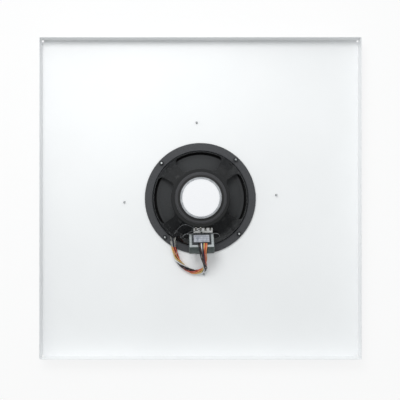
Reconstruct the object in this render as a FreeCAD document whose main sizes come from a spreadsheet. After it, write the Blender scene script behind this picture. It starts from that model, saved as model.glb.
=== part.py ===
import FreeCAD, Part
import Sketcher
import math
import os
import re

# Ceiling tile loudspeaker, millimetres, +Z up into the plenum, origin under the tile's centre
# on the front face of the grille, which is the lowest plane.

SIZES = [
    ("tile_width", 603.0),
    ("tile_sheet", 0.8),
    ("flange_height", 25.0),
    ("bend_radius", 1.2),
    ("relief_radius", 3.0),
    ("ledge_width", 14.0),
    ("opening_inset", 2.0),
    ("assembly_turn", 2.7),
    ("grille_depth", 8.5),
    ("grille_radius", 163.5),
    ("grille_sheet", 0.8),
    ("grille_border", 53.5),
    ("grille_draw", 12.0),
    ("grille_land", 4.0),
    ("grille_lip", 13.0),
    ("slot_radius", 3.2),
    ("slot_margin", 23.0),
    ("screw_inset", 18.5),
    ("screw_radius", 2.0),
    ("screw_head", 4.2),
    ("screw_head_height", 2.2),
    ("screw_tail", 7.0),
    ("hole_play", 0.2),
    ("rim_radius", 105.5),
    ("rim_width", 12.5),
    ("basket_sheet", 1.0),
    ("step_rise", 5.2),
    ("step_run", 3.5),
    ("ledge_rise", 38.7),
    ("ledge_radius", 53.0),
    ("ledge_step", 4.5),
    ("neck_rise", 7.0),
    ("shelf_hole", 21.0),
    ("window_inset", 2.2),
    ("window_lip", 1.5),
    ("window_half", 32.0),
    ("window_corner", 8.5),
    ("rib_width", 8.0),
    ("rib_rise", 1.6),
    ("bolt_inset", 6.0),
    ("bolt_radius", 2.0),
    ("bolt_head", 4.0),
    ("bolt_head_height", 2.2),
    ("bolt_tail", 3.0),
    ("nut_across", 8.0),
    ("nut_height", 3.2),
    ("gasket_sheet", 1.5),
    ("gasket_lap", 0.5),
    ("surround_sheet", 0.5),
    ("surround_inset", 1.0),
    ("roll_play", 0.9),
    ("roll_width", 6.9),
    ("surround_lap", 4.7),
    ("glue_gap", 0.3),
    ("cone_sheet", 0.6),
    ("cone_inset", 0.4),
    ("cone_flat", 4.8),
    ("cone_depth", 28.4),
    ("cone_collar", 3.5),
    ("cap_radius", 20.0),
    ("cap_rise", 7.0),
    ("cap_sheet", 0.5),
    ("former_radius", 13.0),
    ("former_sheet", 0.25),
    ("coil_height", 10.0),
    ("coil_build", 0.6),
    ("magnetic_gap", 0.6),
    ("spider_sheet", 0.4),
    ("spider_inner", 17.0),
    ("spider_flat", 8.0),
    ("spider_bend", 2.6),
    ("plate_inset", 4.0),
    ("plate_thickness", 5.0),
    ("magnet_radius", 47.0),
    ("magnet_bore", 22.5),
    ("magnet_thickness", 12.0),
    ("magnet_chamfer", 2.4),
    ("yoke_inset", 9.6),
    ("yoke_thickness", 5.0),
    ("yoke_chamfer", 0.8),
    ("groove_inset", 1.7),
    ("groove_width", 0.7),
    ("groove_depth", 0.4),
    ("label_inset", 3.9),
    ("label_sheet", 0.2),
    ("pad_shift", 0.85),
    ("pad_turn", 1.5),
    ("pad_rise", 0.8),
    ("pad_margin", 23.0),
    ("pad_inset", 3.0),
    ("core_width", 44.4),
    ("core_height", 33.0),
    ("core_stack", 16.0),
    ("core_shift", 2.4),
    ("strap_sheet", 1.0),
    ("strap_overhang", 0.3),
    ("tab_width", 5.6),
    ("tab_fold", 6.0),
    ("bobbin_sheet", 1.0),
    ("bobbin_play", 0.2),
    ("coil_gap", 2.0),
    ("coil_bulge", 5.0),
    ("wrap_sheet", 0.4),
    ("board_width", 35.0),
    ("board_depth", 11.0),
    ("board_sheet", 1.6),
    ("board_shift", 3.2),
    ("board_gap", 2.0),
    ("lug_pitch", 9.0),
    ("lug_width", 4.0),
    ("lug_sheet", 0.5),
    ("lug_reach", 4.5),
    ("eyelet_radius", 1.5),
    ("eyelet_head", 2.6),
    ("board_rivet", 1.6),
    ("board_rivet_head", 2.6),
    ("board_rivet_inset", 2.5),
    ("grommet_shift", 4.75),
    ("grommet_first", 231.5),
    ("grommet_second", 239.5),
    ("grommet_radius", 3.2),
    ("grommet_neck", 2.2),
    ("grommet_flange", 1.0),
    ("speaker_lead", 1.2),
    ("braid", 1.0),
    ("lead", 2.2),
]

BOLTS = 4
SCREWS = 4
WINDOWS = 3
LUGS = 4
SLOT_RINGS = 6
SPIDER_WAVES = 4

# Sizes that follow from the ones in the sheet.
FOLLOWS = {
    "screw_circle": "grille_radius - screw_inset",
    "grille_disc": "grille_radius - grille_border",
    "slot_pitch": f"(grille_disc - slot_margin) / {SLOT_RINGS}",
    "rim_inner": "rim_radius - rim_width",
    "bolt_circle": "rim_radius - bolt_inset",
    "speaker_opening": "rim_inner - opening_inset",
    "gasket_inner": "rim_inner - gasket_lap",
    "foot_radius": "rim_inner - step_run",
    "window_outer": "foot_radius - window_inset",
    "pad_place": "(foot_radius + ledge_radius) / 2 - pad_shift",
    "grommet_circle": "(foot_radius + ledge_radius) / 2 + grommet_shift",
    "window_inner": "ledge_radius + window_lip",
    "neck_radius": "ledge_radius - ledge_step",
    "spider_outer": "ledge_radius - spider_flat",
    "surround_outer": "rim_radius - surround_inset",
    "roll_outer": "speaker_opening - roll_play",
    "roll_inner": "roll_outer - roll_width",
    "surround_lip": "roll_inner - surround_lap",
    "cone_lip": "roll_inner - cone_inset",
    "cone_edge": "cone_lip - cone_flat",
    "plate_radius": "magnet_radius - plate_inset",
    "yoke_radius": "magnet_radius - yoke_inset",
    "label_radius": "yoke_radius - label_inset",
    "core_limb": "core_width / 8",
    "pad_length": "core_width + pad_margin",
    "pad_width": "core_stack - pad_inset",
    "board_near": "core_stack / 2 + board_gap",
    "board_place": "board_near + board_depth / 2",
    "board_rivet_place": "board_near + board_rivet_inset",
}

# Heights of the stacked faces, from the grille's front upwards.
FLOOR = "grille_depth + tile_sheet"
GASKET_TOP = FLOOR + " + gasket_sheet"
RIM_UNDER = GASKET_TOP + " + surround_sheet"
RIM_TOP = RIM_UNDER + " + basket_sheet"
FOOT = RIM_TOP + " + step_rise"
LEDGE = RIM_TOP + " + ledge_rise"
SHELF = LEDGE + " + neck_rise"
PLATE_TOP = SHELF + " + plate_thickness"
MAGNET_TOP = PLATE_TOP + " + magnet_thickness"
YOKE_TOP = MAGNET_TOP + " + yoke_thickness"
CONE_FACE = RIM_UNDER + " + glue_gap"
CONE_NECK = CONE_FACE + " + cone_depth"
COIL_MIDDLE = SHELF + " + plate_thickness / 2"

doc = FreeCAD.newDocument("ceiling_tile_speaker")
sheet = doc.addObject("Spreadsheet::Sheet", "Sizes")
for row, (alias, number) in enumerate(SIZES, 1):
    sheet.set(f"A{row}", alias)
    sheet.set(f"B{row}", str(number))
    sheet.setAlias(f"B{row}", alias)
doc.recompute()


def spelled(text):
    """The text with each following size spelled out in the sheet's own names"""
    def swap(found):
        word = found[0]
        return f"({spelled(FOLLOWS[word])})" if word in FOLLOWS else word
    return re.sub(r"\b[a-z_]+\b", swap, text)


def bound(text):
    """The text as an expression that names the sheet's cells"""
    return re.sub(r"(?!deg\b)\b[a-z_]+\b(?!\()", r"Sizes.\g<0>", spelled(text))


def size(text):
    """The number that an expression in the sheet's names comes to"""
    return float(sheet.evalExpression(spelled(text)))


def turned(angle, place=FreeCAD.Placement()):
    """A placement turned about the driver's axis"""
    axis = FreeCAD.Vector(0, 0, 1)
    return FreeCAD.Placement(FreeCAD.Vector(), FreeCAD.Rotation(axis, angle)) * place


def origin(body, role):
    return next(f for f in body.Origin.OriginFeatures if f.Role == role)


def new_body(label):
    body = doc.addObject("PartDesign::Body", label)
    body.Label = label
    return body


def arc_centre(start, end, hold):
    """Centre of an arc through two points, held at a level or in a column"""
    mode, text = hold[0], hold[1]
    middle = ((start[0] + end[0]) / 2, (start[1] + end[1]) / 2)
    run = (end[0] - start[0], end[1] - start[1])
    if mode == "level":
        level = 0.0 if text == "0" else size(text)
        return middle[0] - (level - middle[1]) * run[1] / run[0], level
    column = 0.0 if text == "0" else size(text)
    return column, middle[1] - (column - middle[0]) * run[0] / run[1]


def hold_point(sketch, edge, spot, x_text, y_text):
    """Hold a sketch point by its bound distances from the sketch's origin"""
    for kind, text, axis in (("DistanceX", x_text, -2), ("DistanceY", y_text, -1)):
        if text is None:
            continue
        if text == "0":
            sketch.addConstraint(Sketcher.Constraint("PointOnObject", edge, spot, axis))
            continue
        rule = Sketcher.Constraint(kind, -1, 1, edge, spot, size(text))
        number = sketch.addConstraint(rule)
        sketch.setExpression(f"Constraints[{number}]", bound(text))


def add_circle(sketch, x_text, y_text, radius_text):
    spot = FreeCAD.Vector(*[0 if t == "0" else size(t) for t in (x_text, y_text)], 0)
    circle = Part.Circle(spot, FreeCAD.Vector(0, 0, 1), size(radius_text))
    edge = sketch.addGeometry(circle, False)
    hold_point(sketch, edge, 3, x_text, y_text)
    number = sketch.addConstraint(Sketcher.Constraint("Radius", edge, size(radius_text)))
    sketch.setExpression(f"Constraints[{number}]", bound(radius_text))


def add_loop(sketch, corners):
    """Closed loop of lines and arcs through corners, each given by two expressions"""
    spots = [[0.0 if t == "0" else size(t) for t in corner[:2]] for corner in corners]
    ends = []
    for index, corner in enumerate(corners):
        start = spots[index]
        end = spots[(index + 1) % len(spots)]
        if len(corner) == 2:
            line = Part.LineSegment(FreeCAD.Vector(*start, 0), FreeCAD.Vector(*end, 0))
            ends.append((sketch.addGeometry(line, False), 1, 2))
            continue
        hold = corner[2]
        centre = arc_centre(start, end, hold)
        angles = [math.atan2(p[1] - centre[1], p[0] - centre[0]) for p in (start, end)]
        circle = Part.Circle(
            FreeCAD.Vector(*centre, 0), FreeCAD.Vector(0, 0, 1), math.dist(start, centre)
        )
        if hold[2] == "left":
            edge = sketch.addGeometry(Part.ArcOfCircle(circle, angles[0], angles[1]), False)
            ends.append((edge, 1, 2))
        else:
            edge = sketch.addGeometry(Part.ArcOfCircle(circle, angles[1], angles[0]), False)
            ends.append((edge, 2, 1))
    for index, (edge, first, last) in enumerate(ends):
        following = ends[(index + 1) % len(ends)]
        rule = Sketcher.Constraint("Coincident", edge, last, following[0], following[1])
        sketch.addConstraint(rule)
        corner = corners[index]
        hold_point(sketch, edge, first, corner[0], corner[1])
        if len(corner) == 3 and corner[2][0] == "level":
            hold_point(sketch, edge, 3, None, corner[2][1])
        elif len(corner) == 3:
            hold_point(sketch, edge, 3, corner[2][1], None)


def new_sketch(body, name, plane, place=None, height=None, reach=None, angle=None):
    """Empty sketch on one of the body's own planes, raised, shifted or turned by bound sizes"""
    sketch = body.newObject("Sketcher::SketchObject", name)
    sketch.AttachmentSupport = [(origin(body, plane), "")]
    sketch.MapMode = "FlatFace"
    if place is not None:
        sketch.AttachmentOffset = place
    if height is not None:
        sketch.setExpression("AttachmentOffset.Base.z", bound(height))
    if reach is not None:
        sketch.setExpression("AttachmentOffset.Base.x", bound(reach))
    if angle is not None:
        sketch.setExpression("AttachmentOffset.Rotation.Angle", bound(angle))
    return sketch


def add_pad(body, sketch, length, reverse=False, symmetric=False, merge=True):
    pad = body.newObject("PartDesign::Pad", sketch.Name + "_pad")
    pad.Profile = sketch
    pad.Reversed = reverse
    pad.Refine = merge
    if symmetric:
        pad.SideType = "Symmetric"
    pad.setExpression("Length", bound(length))
    doc.recompute()
    return pad


def add_pocket(body, sketch, length=None, reverse=False, merge=True):
    """Cut along the sketch's normal, through everything both ways if no length is given"""
    before = body.Shape.Volume
    pocket = body.newObject("PartDesign::Pocket", sketch.Name + "_cut")
    pocket.Profile = sketch
    pocket.Reversed = reverse
    pocket.Refine = merge
    if length is None:
        pocket.SideType = "Symmetric"
        pocket.Type = "ThroughAll"
    else:
        pocket.setExpression("Length", bound(length))
    doc.recompute()
    if body.Shape.Volume >= before:
        raise RuntimeError(sketch.Name + " cuts nothing")
    return pocket


def add_turns(body, feature, count, span=360.0, merge=True):
    pattern = body.newObject("PartDesign::PolarPattern", feature.Name + "_turns")
    pattern.Originals = [feature]
    pattern.Axis = (origin(body, "Z_Axis"), [""])
    pattern.Angle = span
    pattern.Occurrences = count
    pattern.Refine = merge
    body.Tip = pattern
    doc.recompute()


def revolve(body, name, corners, reach=None):
    """Solid of revolution of a profile in radius and height"""
    sketch = new_sketch(body, name, "XZ_Plane", reach=reach)
    add_loop(sketch, corners)
    turn = body.newObject("PartDesign::Revolution", name + "_turned")
    turn.Profile = sketch
    turn.ReferenceAxis = (sketch, ["V_Axis"])
    turn.Angle = 360.0
    doc.recompute()
    return turn


def hole_ring(body, name, hole, circle, count, angle=None, merge=True):
    """Ring of round holes right through the body"""
    sketch = new_sketch(body, name, "XY_Plane", angle=angle)
    add_circle(sketch, circle, "0", hole)
    cut = add_pocket(body, sketch, merge=merge)
    add_turns(body, cut, count, merge=merge)


def box_loop(half_x, half_y):
    """Corners of a rectangle about the sketch's origin"""
    return [
        (f"-({half_x})", f"-({half_y})"),
        (half_x, f"-({half_y})"),
        (half_x, half_y),
        (f"-({half_x})", half_y),
    ]


def span_loop(low_x, high_x, low_y, high_y):
    return [(low_x, low_y), (high_x, low_y), (high_x, high_y), (low_x, high_y)]


def tube_loop(inner, outer, low, high):
    return [(inner, low), (outer, low), (outer, high), (inner, high)]


def ring_part(label, inner, outer, low, high, angle):
    body = new_body(label)
    revolve(body, label + "_profile", tube_loop(inner, outer, low, high))
    body.Placement = turned(angle)
    return body


def wall_angle():
    """Slope of the basket's cone wall against the tile, in degrees"""
    rise = size(LEDGE) - size(FOOT)
    return math.degrees(math.atan2(rise, size("foot_radius - ledge_radius")))


def wall_place(radius, angle, lift=0.0):
    """Placement on the basket's outer wall, Z along the wall's normal and Y up the slope"""
    slope = wall_angle()
    height = size(FOOT) + (size("foot_radius") - radius) * math.tan(math.radians(slope))
    axis = FreeCAD.Rotation(FreeCAD.Vector(1, 0, 0), slope)
    spot = FreeCAD.Vector(0, -radius, height) + axis.multVec(FreeCAD.Vector(0, 0, lift))
    return turned(angle + 90, FreeCAD.Placement(spot, axis))


def pad_frame(angle):
    """Placement of the transformer pad's top face"""
    return wall_place(size("pad_place"), angle - size("pad_turn"), size("pad_rise"))


def tile_panel():
    """Folded pan: a floor with an upturned flange on each side, relieved at the corners"""
    body = new_body("tile_panel")
    start = "tile_width / 2 - tile_sheet - bend_radius"
    bend_top = "grille_depth + tile_sheet + bend_radius"
    flange_top = "grille_depth + flange_height"
    wall = "tile_width / 2 - tile_sheet"
    half = "tile_width / 2 - ledge_width"
    # The band that rests on the ceiling grid is a face of its own.
    ledge = new_sketch(body, "tile_ledge", "XY_Plane", height="grille_depth")
    add_loop(ledge, box_loop(start, start))
    add_loop(ledge, box_loop(half, half))
    add_pad(body, ledge, "tile_sheet", merge=False)
    fold = new_sketch(body, "tile_flange", "XZ_Plane")
    add_loop(fold, [
        (start, "grille_depth", ("level", bend_top, "left")),
        ("tile_width / 2", bend_top),
        ("tile_width / 2", flange_top),
        (wall, flange_top),
        (wall, bend_top, ("level", bend_top, "right")),
        (start, FLOOR),
    ])
    flange = add_pad(body, fold, f"2 * ({wall} - hole_play)", symmetric=True, merge=False)
    add_turns(body, flange, 4, merge=False)
    relief = new_sketch(body, "tile_relief", "XY_Plane")
    corner = "tile_width / 2 - tile_sheet"
    for x_sign in ("", "-"):
        for y_sign in ("", "-"):
            add_circle(relief, f"{x_sign}({corner})", f"{y_sign}({corner})", "relief_radius")
    add_pocket(body, relief, f"{bend_top} + relief_radius / 2", reverse=True, merge=False)
    plate = new_sketch(body, "tile_plate", "XY_Plane", height="grille_depth")
    add_loop(plate, box_loop(half, half))
    add_circle(plate, "0", "0", "speaker_opening")
    add_pad(body, plate, "tile_sheet", merge=False)
    hole_ring(
        body, "tile_bolt_hole", "bolt_radius + hole_play", "bolt_circle", BOLTS,
        "assembly_turn + 45", merge=False,
    )
    hole_ring(
        body, "tile_screw_hole", "screw_radius + hole_play", "screw_circle", SCREWS,
        "assembly_turn", merge=False,
    )
    return body


def front_grille():
    body = new_body("front_grille")
    foot = "grille_disc + grille_draw"
    edge = "grille_radius - grille_lip"
    revolve(body, "grille_profile", [
        ("0", "0"),
        ("grille_disc", "0"),
        (foot, "grille_land"),
        (edge, "grille_land"),
        ("grille_radius", "grille_depth - grille_sheet"),
        ("grille_radius", "grille_depth"),
        ("grille_radius - grille_sheet * 2.5", "grille_depth"),
        (edge + " - grille_sheet / 4", "grille_land + grille_sheet"),
        (foot + " - grille_sheet / 4", "grille_land + grille_sheet"),
        ("grille_disc - grille_sheet / 4", "grille_sheet"),
        ("0", "grille_sheet"),
    ])
    for ring in range(1, SLOT_RINGS + 1):
        hole_ring(body, f"grille_ring_{ring}", "slot_radius", f"slot_pitch * {ring}", 6 * ring)
    hole_ring(body, "grille_screw_hole", "screw_radius + hole_play", "screw_circle", SCREWS)
    body.Placement = turned(size("assembly_turn"))
    return body


def grille_screws():
    body = new_body("grille_screws")
    land = "grille_land"
    tail = FLOOR + " + screw_tail"
    screw = revolve(body, "screw_profile", [
        ("0", land + " - screw_head_height"),
        ("screw_head * 0.7", land + " - screw_head_height"),
        ("screw_head", land + " - screw_head_height * 0.45"),
        ("screw_head", land),
        ("screw_radius", land),
        ("screw_radius", tail + " - screw_radius"),
        ("screw_radius * 0.3", tail),
        ("0", tail),
    ], reach="screw_circle")
    add_turns(body, screw, SCREWS)
    body.Placement = turned(size("assembly_turn"))
    return body


def driver_bolts():
    body = new_body("driver_bolts")
    tail = RIM_TOP + " + nut_height + bolt_tail"
    bolt = revolve(body, "bolt_profile", [
        ("0", "grille_depth - bolt_head_height"),
        ("bolt_head * 0.7", "grille_depth - bolt_head_height"),
        ("bolt_head", "grille_depth - bolt_head_height * 0.45"),
        ("bolt_head", "grille_depth"),
        ("bolt_radius", "grille_depth"),
        ("bolt_radius", tail + " - bolt_radius / 3"),
        ("bolt_radius * 0.7", tail),
        ("0", tail),
    ], reach="bolt_circle")
    add_turns(body, bolt, BOLTS)
    body.Placement = turned(size("assembly_turn + 45"))
    return body


def driver_nuts():
    body = new_body("driver_nuts")
    sketch = new_sketch(body, "nut_outline", "XY_Plane", height=RIM_TOP)
    corners = []
    for step in range(6):
        angle = f"{60 * step + 30} deg"
        corner = "nut_across / 2 / cos(30 deg)"
        corners.append((f"bolt_circle + {corner} * cos({angle})", f"{corner} * sin({angle})"))
    corners[1] = ("bolt_circle", corners[1][1])
    corners[4] = ("bolt_circle", corners[4][1])
    add_loop(sketch, corners)
    add_circle(sketch, "bolt_circle", "0", "bolt_radius + hole_play / 2")
    nut = add_pad(body, sketch, "nut_height")
    add_turns(body, nut, BOLTS)
    body.Placement = turned(size("assembly_turn + 45"))
    return body


def gasket():
    body = ring_part(
        "gasket", "gasket_inner", "rim_radius", FLOOR, GASKET_TOP, size("assembly_turn + 45")
    )
    hole_ring(body, "gasket_hole", "bolt_radius + hole_play", "bolt_circle", BOLTS)
    return body


def surround():
    """Cloth edge of the cone: clamped flange, half roll and the lip under the cone's edge"""
    body = new_body("surround")
    low, high = GASKET_TOP, RIM_UNDER
    revolve(body, "surround_profile", [
        ("surround_outer", low),
        ("surround_outer", high),
        ("roll_outer - surround_sheet", high, ("level", high, "right")),
        ("roll_inner + surround_sheet", high),
        ("surround_lip", high),
        ("surround_lip", low),
        ("roll_inner", low, ("level", low, "left")),
        ("roll_outer", low),
    ])
    hole_ring(body, "surround_hole", "bolt_radius + hole_play", "bolt_circle", BOLTS)
    body.Placement = turned(size("assembly_turn + 45"))
    return body


def wall_point(share, out):
    """Point on the basket's cone wall, a share of the way up and pushed outwards"""
    radius = f"foot_radius + {share} * (ledge_radius - foot_radius) + {out}"
    height = f"{FOOT} + {share} * ({LEDGE} - ({FOOT})) + {out}"
    return radius, height


def window_loop():
    """Ring sector with rounded corners, centred on the sketch's Y axis"""
    half = "window_half * 1 deg"
    far = "(window_outer - window_corner)"
    near = "(window_inner + window_corner)"
    far_turn = f"({half} - asin(window_corner / {far}))"
    near_turn = f"({half} - asin(window_corner / {near}))"
    far_side = f"sqrt({far} * {far} - window_corner * window_corner)"
    near_side = f"sqrt({near} * {near} - window_corner * window_corner)"
    outer = (f"window_outer * sin{far_turn}", f"window_outer * cos{far_turn}")
    upper = (f"{far_side} * sin({half})", f"{far_side} * cos({half})")
    lower = (f"{near_side} * sin({half})", f"{near_side} * cos({half})")
    inner = (f"window_inner * sin{near_turn}", f"window_inner * cos{near_turn}")
    far_level = ("level", f"{far} * cos{far_turn}", "left")
    near_level = ("level", f"{near} * cos{near_turn}", "left")
    return [
        (*outer, ("level", "0", "left")),
        (f"-{outer[0]}", outer[1], far_level),
        (f"-{upper[0]}", upper[1]),
        (f"-{lower[0]}", lower[1], near_level),
        (f"-{inner[0]}", inner[1], ("level", "0", "right")),
        (*inner, near_level),
        (*lower,),
        (*upper, far_level),
    ]


def pad_loop(inset):
    radius = f"(pad_width / 2 - {inset})"
    centre = "(pad_length / 2 - pad_width / 2)"
    return [
        (f"-{centre}", f"-{radius}"),
        (centre, f"-{radius}", ("column", centre, "left")),
        (centre, radius),
        (f"-{centre}", radius, ("column", f"-{centre}", "left")),
    ]


def basket():
    """Stamped steel basket: its spokes lie on the body's X and Y axes"""
    body = new_body("basket")
    wall = "basket_sheet"
    inner_foot = (f"foot_radius - 0.95 * {wall}", f"{FOOT} - 0.6 * {wall}")
    inner_ledge = (f"ledge_radius - 0.4 * {wall}", f"{LEDGE} - {wall}")
    inner_neck = (f"neck_radius - {wall}", f"{LEDGE} - {wall}")
    inner_shelf = (f"neck_radius - {wall}", f"{SHELF} - {wall}")
    revolve(body, "basket_profile", [
        ("rim_radius", RIM_UNDER),
        ("rim_radius", RIM_TOP),
        ("rim_inner", RIM_TOP),
        ("foot_radius", FOOT),
        ("ledge_radius", LEDGE),
        ("neck_radius", LEDGE),
        ("neck_radius", SHELF),
        ("shelf_hole", SHELF),
        ("shelf_hole", f"{SHELF} - {wall}"),
        inner_shelf,
        inner_neck,
        inner_ledge,
        inner_foot,
        (f"rim_inner - 0.5 * {wall}", RIM_UNDER),
    ])
    rib = new_sketch(body, "basket_rib", "XZ_Plane")
    sunk = f"(-0.4 * {wall})"
    raised = "0.7 * rib_rise"
    add_loop(rib, [
        wall_point(0.08, sunk),
        wall_point(0.16, raised),
        wall_point(0.86, raised),
        wall_point(0.94, sunk),
    ])
    ribs = add_pad(body, rib, "rib_width", symmetric=True)
    add_turns(body, ribs, BOLTS)
    frame = pad_frame(-135)
    raised_pad = new_sketch(body, "basket_pad", "XY_Plane", frame)
    add_loop(raised_pad, pad_loop("0"))
    add_pad(body, raised_pad, "pad_width / 2", reverse=True)
    # The inside of the cone wall trims what the pad's sides leave there.
    trim = new_sketch(body, "basket_trim", "XZ_Plane")
    add_loop(trim, [("0", inner_ledge[1]), inner_ledge, inner_foot, ("0", inner_foot[1])])
    groove = body.newObject("PartDesign::Groove", "basket_trim_cut")
    groove.Profile = trim
    groove.ReferenceAxis = (trim, ["V_Axis"])
    groove.Angle = 360.0
    doc.recompute()
    sunken = frame * FreeCAD.Placement(FreeCAD.Vector(0, 0, -size(wall)), FreeCAD.Rotation())
    hollow = new_sketch(body, "basket_pad_hollow", "XY_Plane", sunken)
    add_loop(hollow, pad_loop(wall))
    add_pocket(body, hollow, "pad_width")
    slots = new_sketch(body, "basket_tab_slots", "XY_Plane", frame)
    near = "core_width / 2 - hole_play"
    far = "core_width / 2 + strap_sheet + hole_play"
    across = "tab_width / 2 + hole_play"
    low, high = f"-({across}) - core_shift", f"{across} - core_shift"
    add_loop(slots, span_loop(near, far, low, high))
    add_loop(slots, span_loop(f"-({far})", f"-({near})", low, high))
    add_pocket(body, slots, f"2 * {wall}")
    for name, angle in (("first", "grommet_first"), ("second", "grommet_second")):
        place = wall_place(size("grommet_circle"), size(angle) - 45)
        hole = new_sketch(body, f"basket_lead_hole_{name}", "XY_Plane", place)
        add_circle(hole, "0", "0", "grommet_neck + glue_gap / 3")
        add_pocket(body, hole, f"3 * {wall}")
    rivet = new_sketch(body, "basket_rivet_hole", "XY_Plane", frame)
    add_circle(rivet, "0", "board_rivet_place", "board_rivet")
    add_pocket(body, rivet, f"pad_rise + 2 * {wall}")
    window = new_sketch(
        body, "basket_window", "XY_Plane", turned(-135, FreeCAD.Placement())
    )
    add_loop(window, window_loop())
    opening = add_pocket(body, window)
    add_turns(body, opening, WINDOWS, 180.0)
    hole_ring(body, "basket_bolt_hole", "bolt_radius + 2 * hole_play", "bolt_circle", BOLTS)
    body.Placement = turned(size("assembly_turn + 45"))
    return body


def cone():
    body = new_body("cone")
    lip_top = CONE_FACE + " + cone_sheet"
    revolve(body, "cone_profile", [
        ("cone_lip", CONE_FACE),
        ("cone_lip", lip_top),
        ("cone_edge", lip_top),
        ("former_radius + cone_sheet", CONE_NECK + " + cone_sheet"),
        ("former_radius + cone_sheet", CONE_NECK + " + cone_collar"),
        ("former_radius", CONE_NECK + " + cone_collar"),
        ("former_radius", CONE_NECK),
        ("cone_edge", CONE_FACE),
    ])
    body.Placement = turned(size("assembly_turn"))
    return body


def dust_cap():
    """Domed cap on the cone's front, bulging towards the grille"""
    body = new_body("dust_cap")
    slope = "(cone_depth / (cone_edge - former_radius))"
    seat = f"{CONE_FACE} + {slope} * (cone_edge - cap_radius) - glue_gap / 3"
    crown = f"{seat} - cap_rise"
    revolve(body, "cap_profile", [
        ("0", crown, ("column", "0", "left")),
        ("cap_radius", seat + " - cap_sheet"),
        ("cap_radius", seat),
        ("cap_radius - cap_sheet", seat, ("column", "0", "right")),
        ("0", crown + " + cap_sheet"),
    ])
    body.Placement = turned(size("assembly_turn"))
    return body


def spider():
    """Corrugated disc that centres the coil: glued under the basket's ledge, around the former"""
    body = new_body("spider")
    top = f"{LEDGE} - basket_sheet"
    low = f"{top} - spider_sheet"
    pitch = f"(spider_outer - spider_inner) / {2 * SPIDER_WAVES}"
    corners = [("former_radius + glue_gap", low)]
    for wave in range(2 * SPIDER_WAVES):
        radius = f"spider_inner + {wave} * {pitch}"
        if wave % 2:
            corners.append((radius, low, ("level", f"{low} + spider_bend", "left")))
        else:
            corners.append((radius, low, ("level", f"{low} - spider_bend", "right")))
    flange = "ledge_radius - basket_sheet"
    corners += [("spider_outer", low), (flange, low), (flange, top)]
    for wave in range(2 * SPIDER_WAVES, 0, -1):
        radius = f"spider_inner + {wave} * {pitch}"
        if wave % 2:
            corners.append((radius, top, ("level", f"{top} - spider_bend", "left")))
        else:
            corners.append((radius, top, ("level", f"{top} + spider_bend", "right")))
    corners += [("spider_inner", top), ("former_radius + glue_gap", top)]
    revolve(body, "spider_profile", corners)
    body.Placement = turned(size("assembly_turn"))
    return body


def motor_parts():
    """Former, coil, plates, magnet and label about the driver's axis"""
    turn = size("assembly_turn")
    coil_top = f"{COIL_MIDDLE} + coil_height / 2"
    coil_low = f"{COIL_MIDDLE} - coil_height / 2"
    coil_outer = "former_radius + coil_build"
    gap_outer = f"{coil_outer} + magnetic_gap"
    pole = "former_radius - former_sheet - magnetic_gap"
    parts = [
        ring_part(
            "voice_coil_former", "former_radius - former_sheet", "former_radius",
            CONE_NECK, coil_top, turn,
        ),
        ring_part("voice_coil", "former_radius", coil_outer, coil_low, coil_top, turn),
        ring_part("top_plate", gap_outer, "plate_radius", SHELF, PLATE_TOP, turn),
    ]
    magnet = new_body("magnet")
    revolve(magnet, "magnet_profile", [
        ("magnet_bore", PLATE_TOP),
        ("magnet_radius - magnet_chamfer", PLATE_TOP),
        ("magnet_radius", f"{PLATE_TOP} + magnet_chamfer"),
        ("magnet_radius", f"{MAGNET_TOP} - magnet_chamfer"),
        ("magnet_radius - magnet_chamfer", MAGNET_TOP),
        ("magnet_bore", MAGNET_TOP),
    ])
    magnet.Placement = turned(turn)
    groove_outer = "yoke_radius - groove_inset"
    groove_inner = f"{groove_outer} - groove_width"
    yoke = new_body("yoke")
    revolve(yoke, "yoke_profile", [
        ("0", f"{SHELF} - yoke_chamfer"),
        (f"{pole} - yoke_chamfer", f"{SHELF} - yoke_chamfer"),
        (pole, SHELF),
        (pole, MAGNET_TOP),
        ("yoke_radius", MAGNET_TOP),
        ("yoke_radius", f"{YOKE_TOP} - yoke_chamfer"),
        ("yoke_radius - yoke_chamfer", YOKE_TOP),
        (groove_outer, YOKE_TOP),
        (groove_outer, f"{YOKE_TOP} - groove_depth"),
        (groove_inner, f"{YOKE_TOP} - groove_depth"),
        (groove_inner, YOKE_TOP),
        ("0", YOKE_TOP),
    ])
    yoke.Placement = turned(turn)
    label = new_body("label")
    revolve(label, "label_profile", [
        ("0", YOKE_TOP),
        ("label_radius", YOKE_TOP),
        ("label_radius", f"{YOKE_TOP} + label_sheet"),
        ("0", f"{YOKE_TOP} + label_sheet"),
    ])
    label.Placement = turned(turn)
    return parts + [magnet, yoke, label]


def transformer_core():
    """Stack of E and I laminations standing on the pad, limbs along Z"""
    body = new_body("transformer_core")
    sketch = new_sketch(body, "core_outline", "XZ_Plane")
    half = "core_width / 2"
    add_loop(sketch, [(f"-{half}", "0"), (half, "0"), (half, "core_height"), (f"-{half}", "core_height")])
    low, high = "core_limb", "core_height - core_limb"
    add_loop(sketch, span_loop("core_limb", f"{half} - core_limb", low, high))
    add_loop(sketch, span_loop(f"core_limb - {half}", "-core_limb", low, high))
    add_pad(body, sketch, "core_stack", symmetric=True)
    return body


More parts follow.
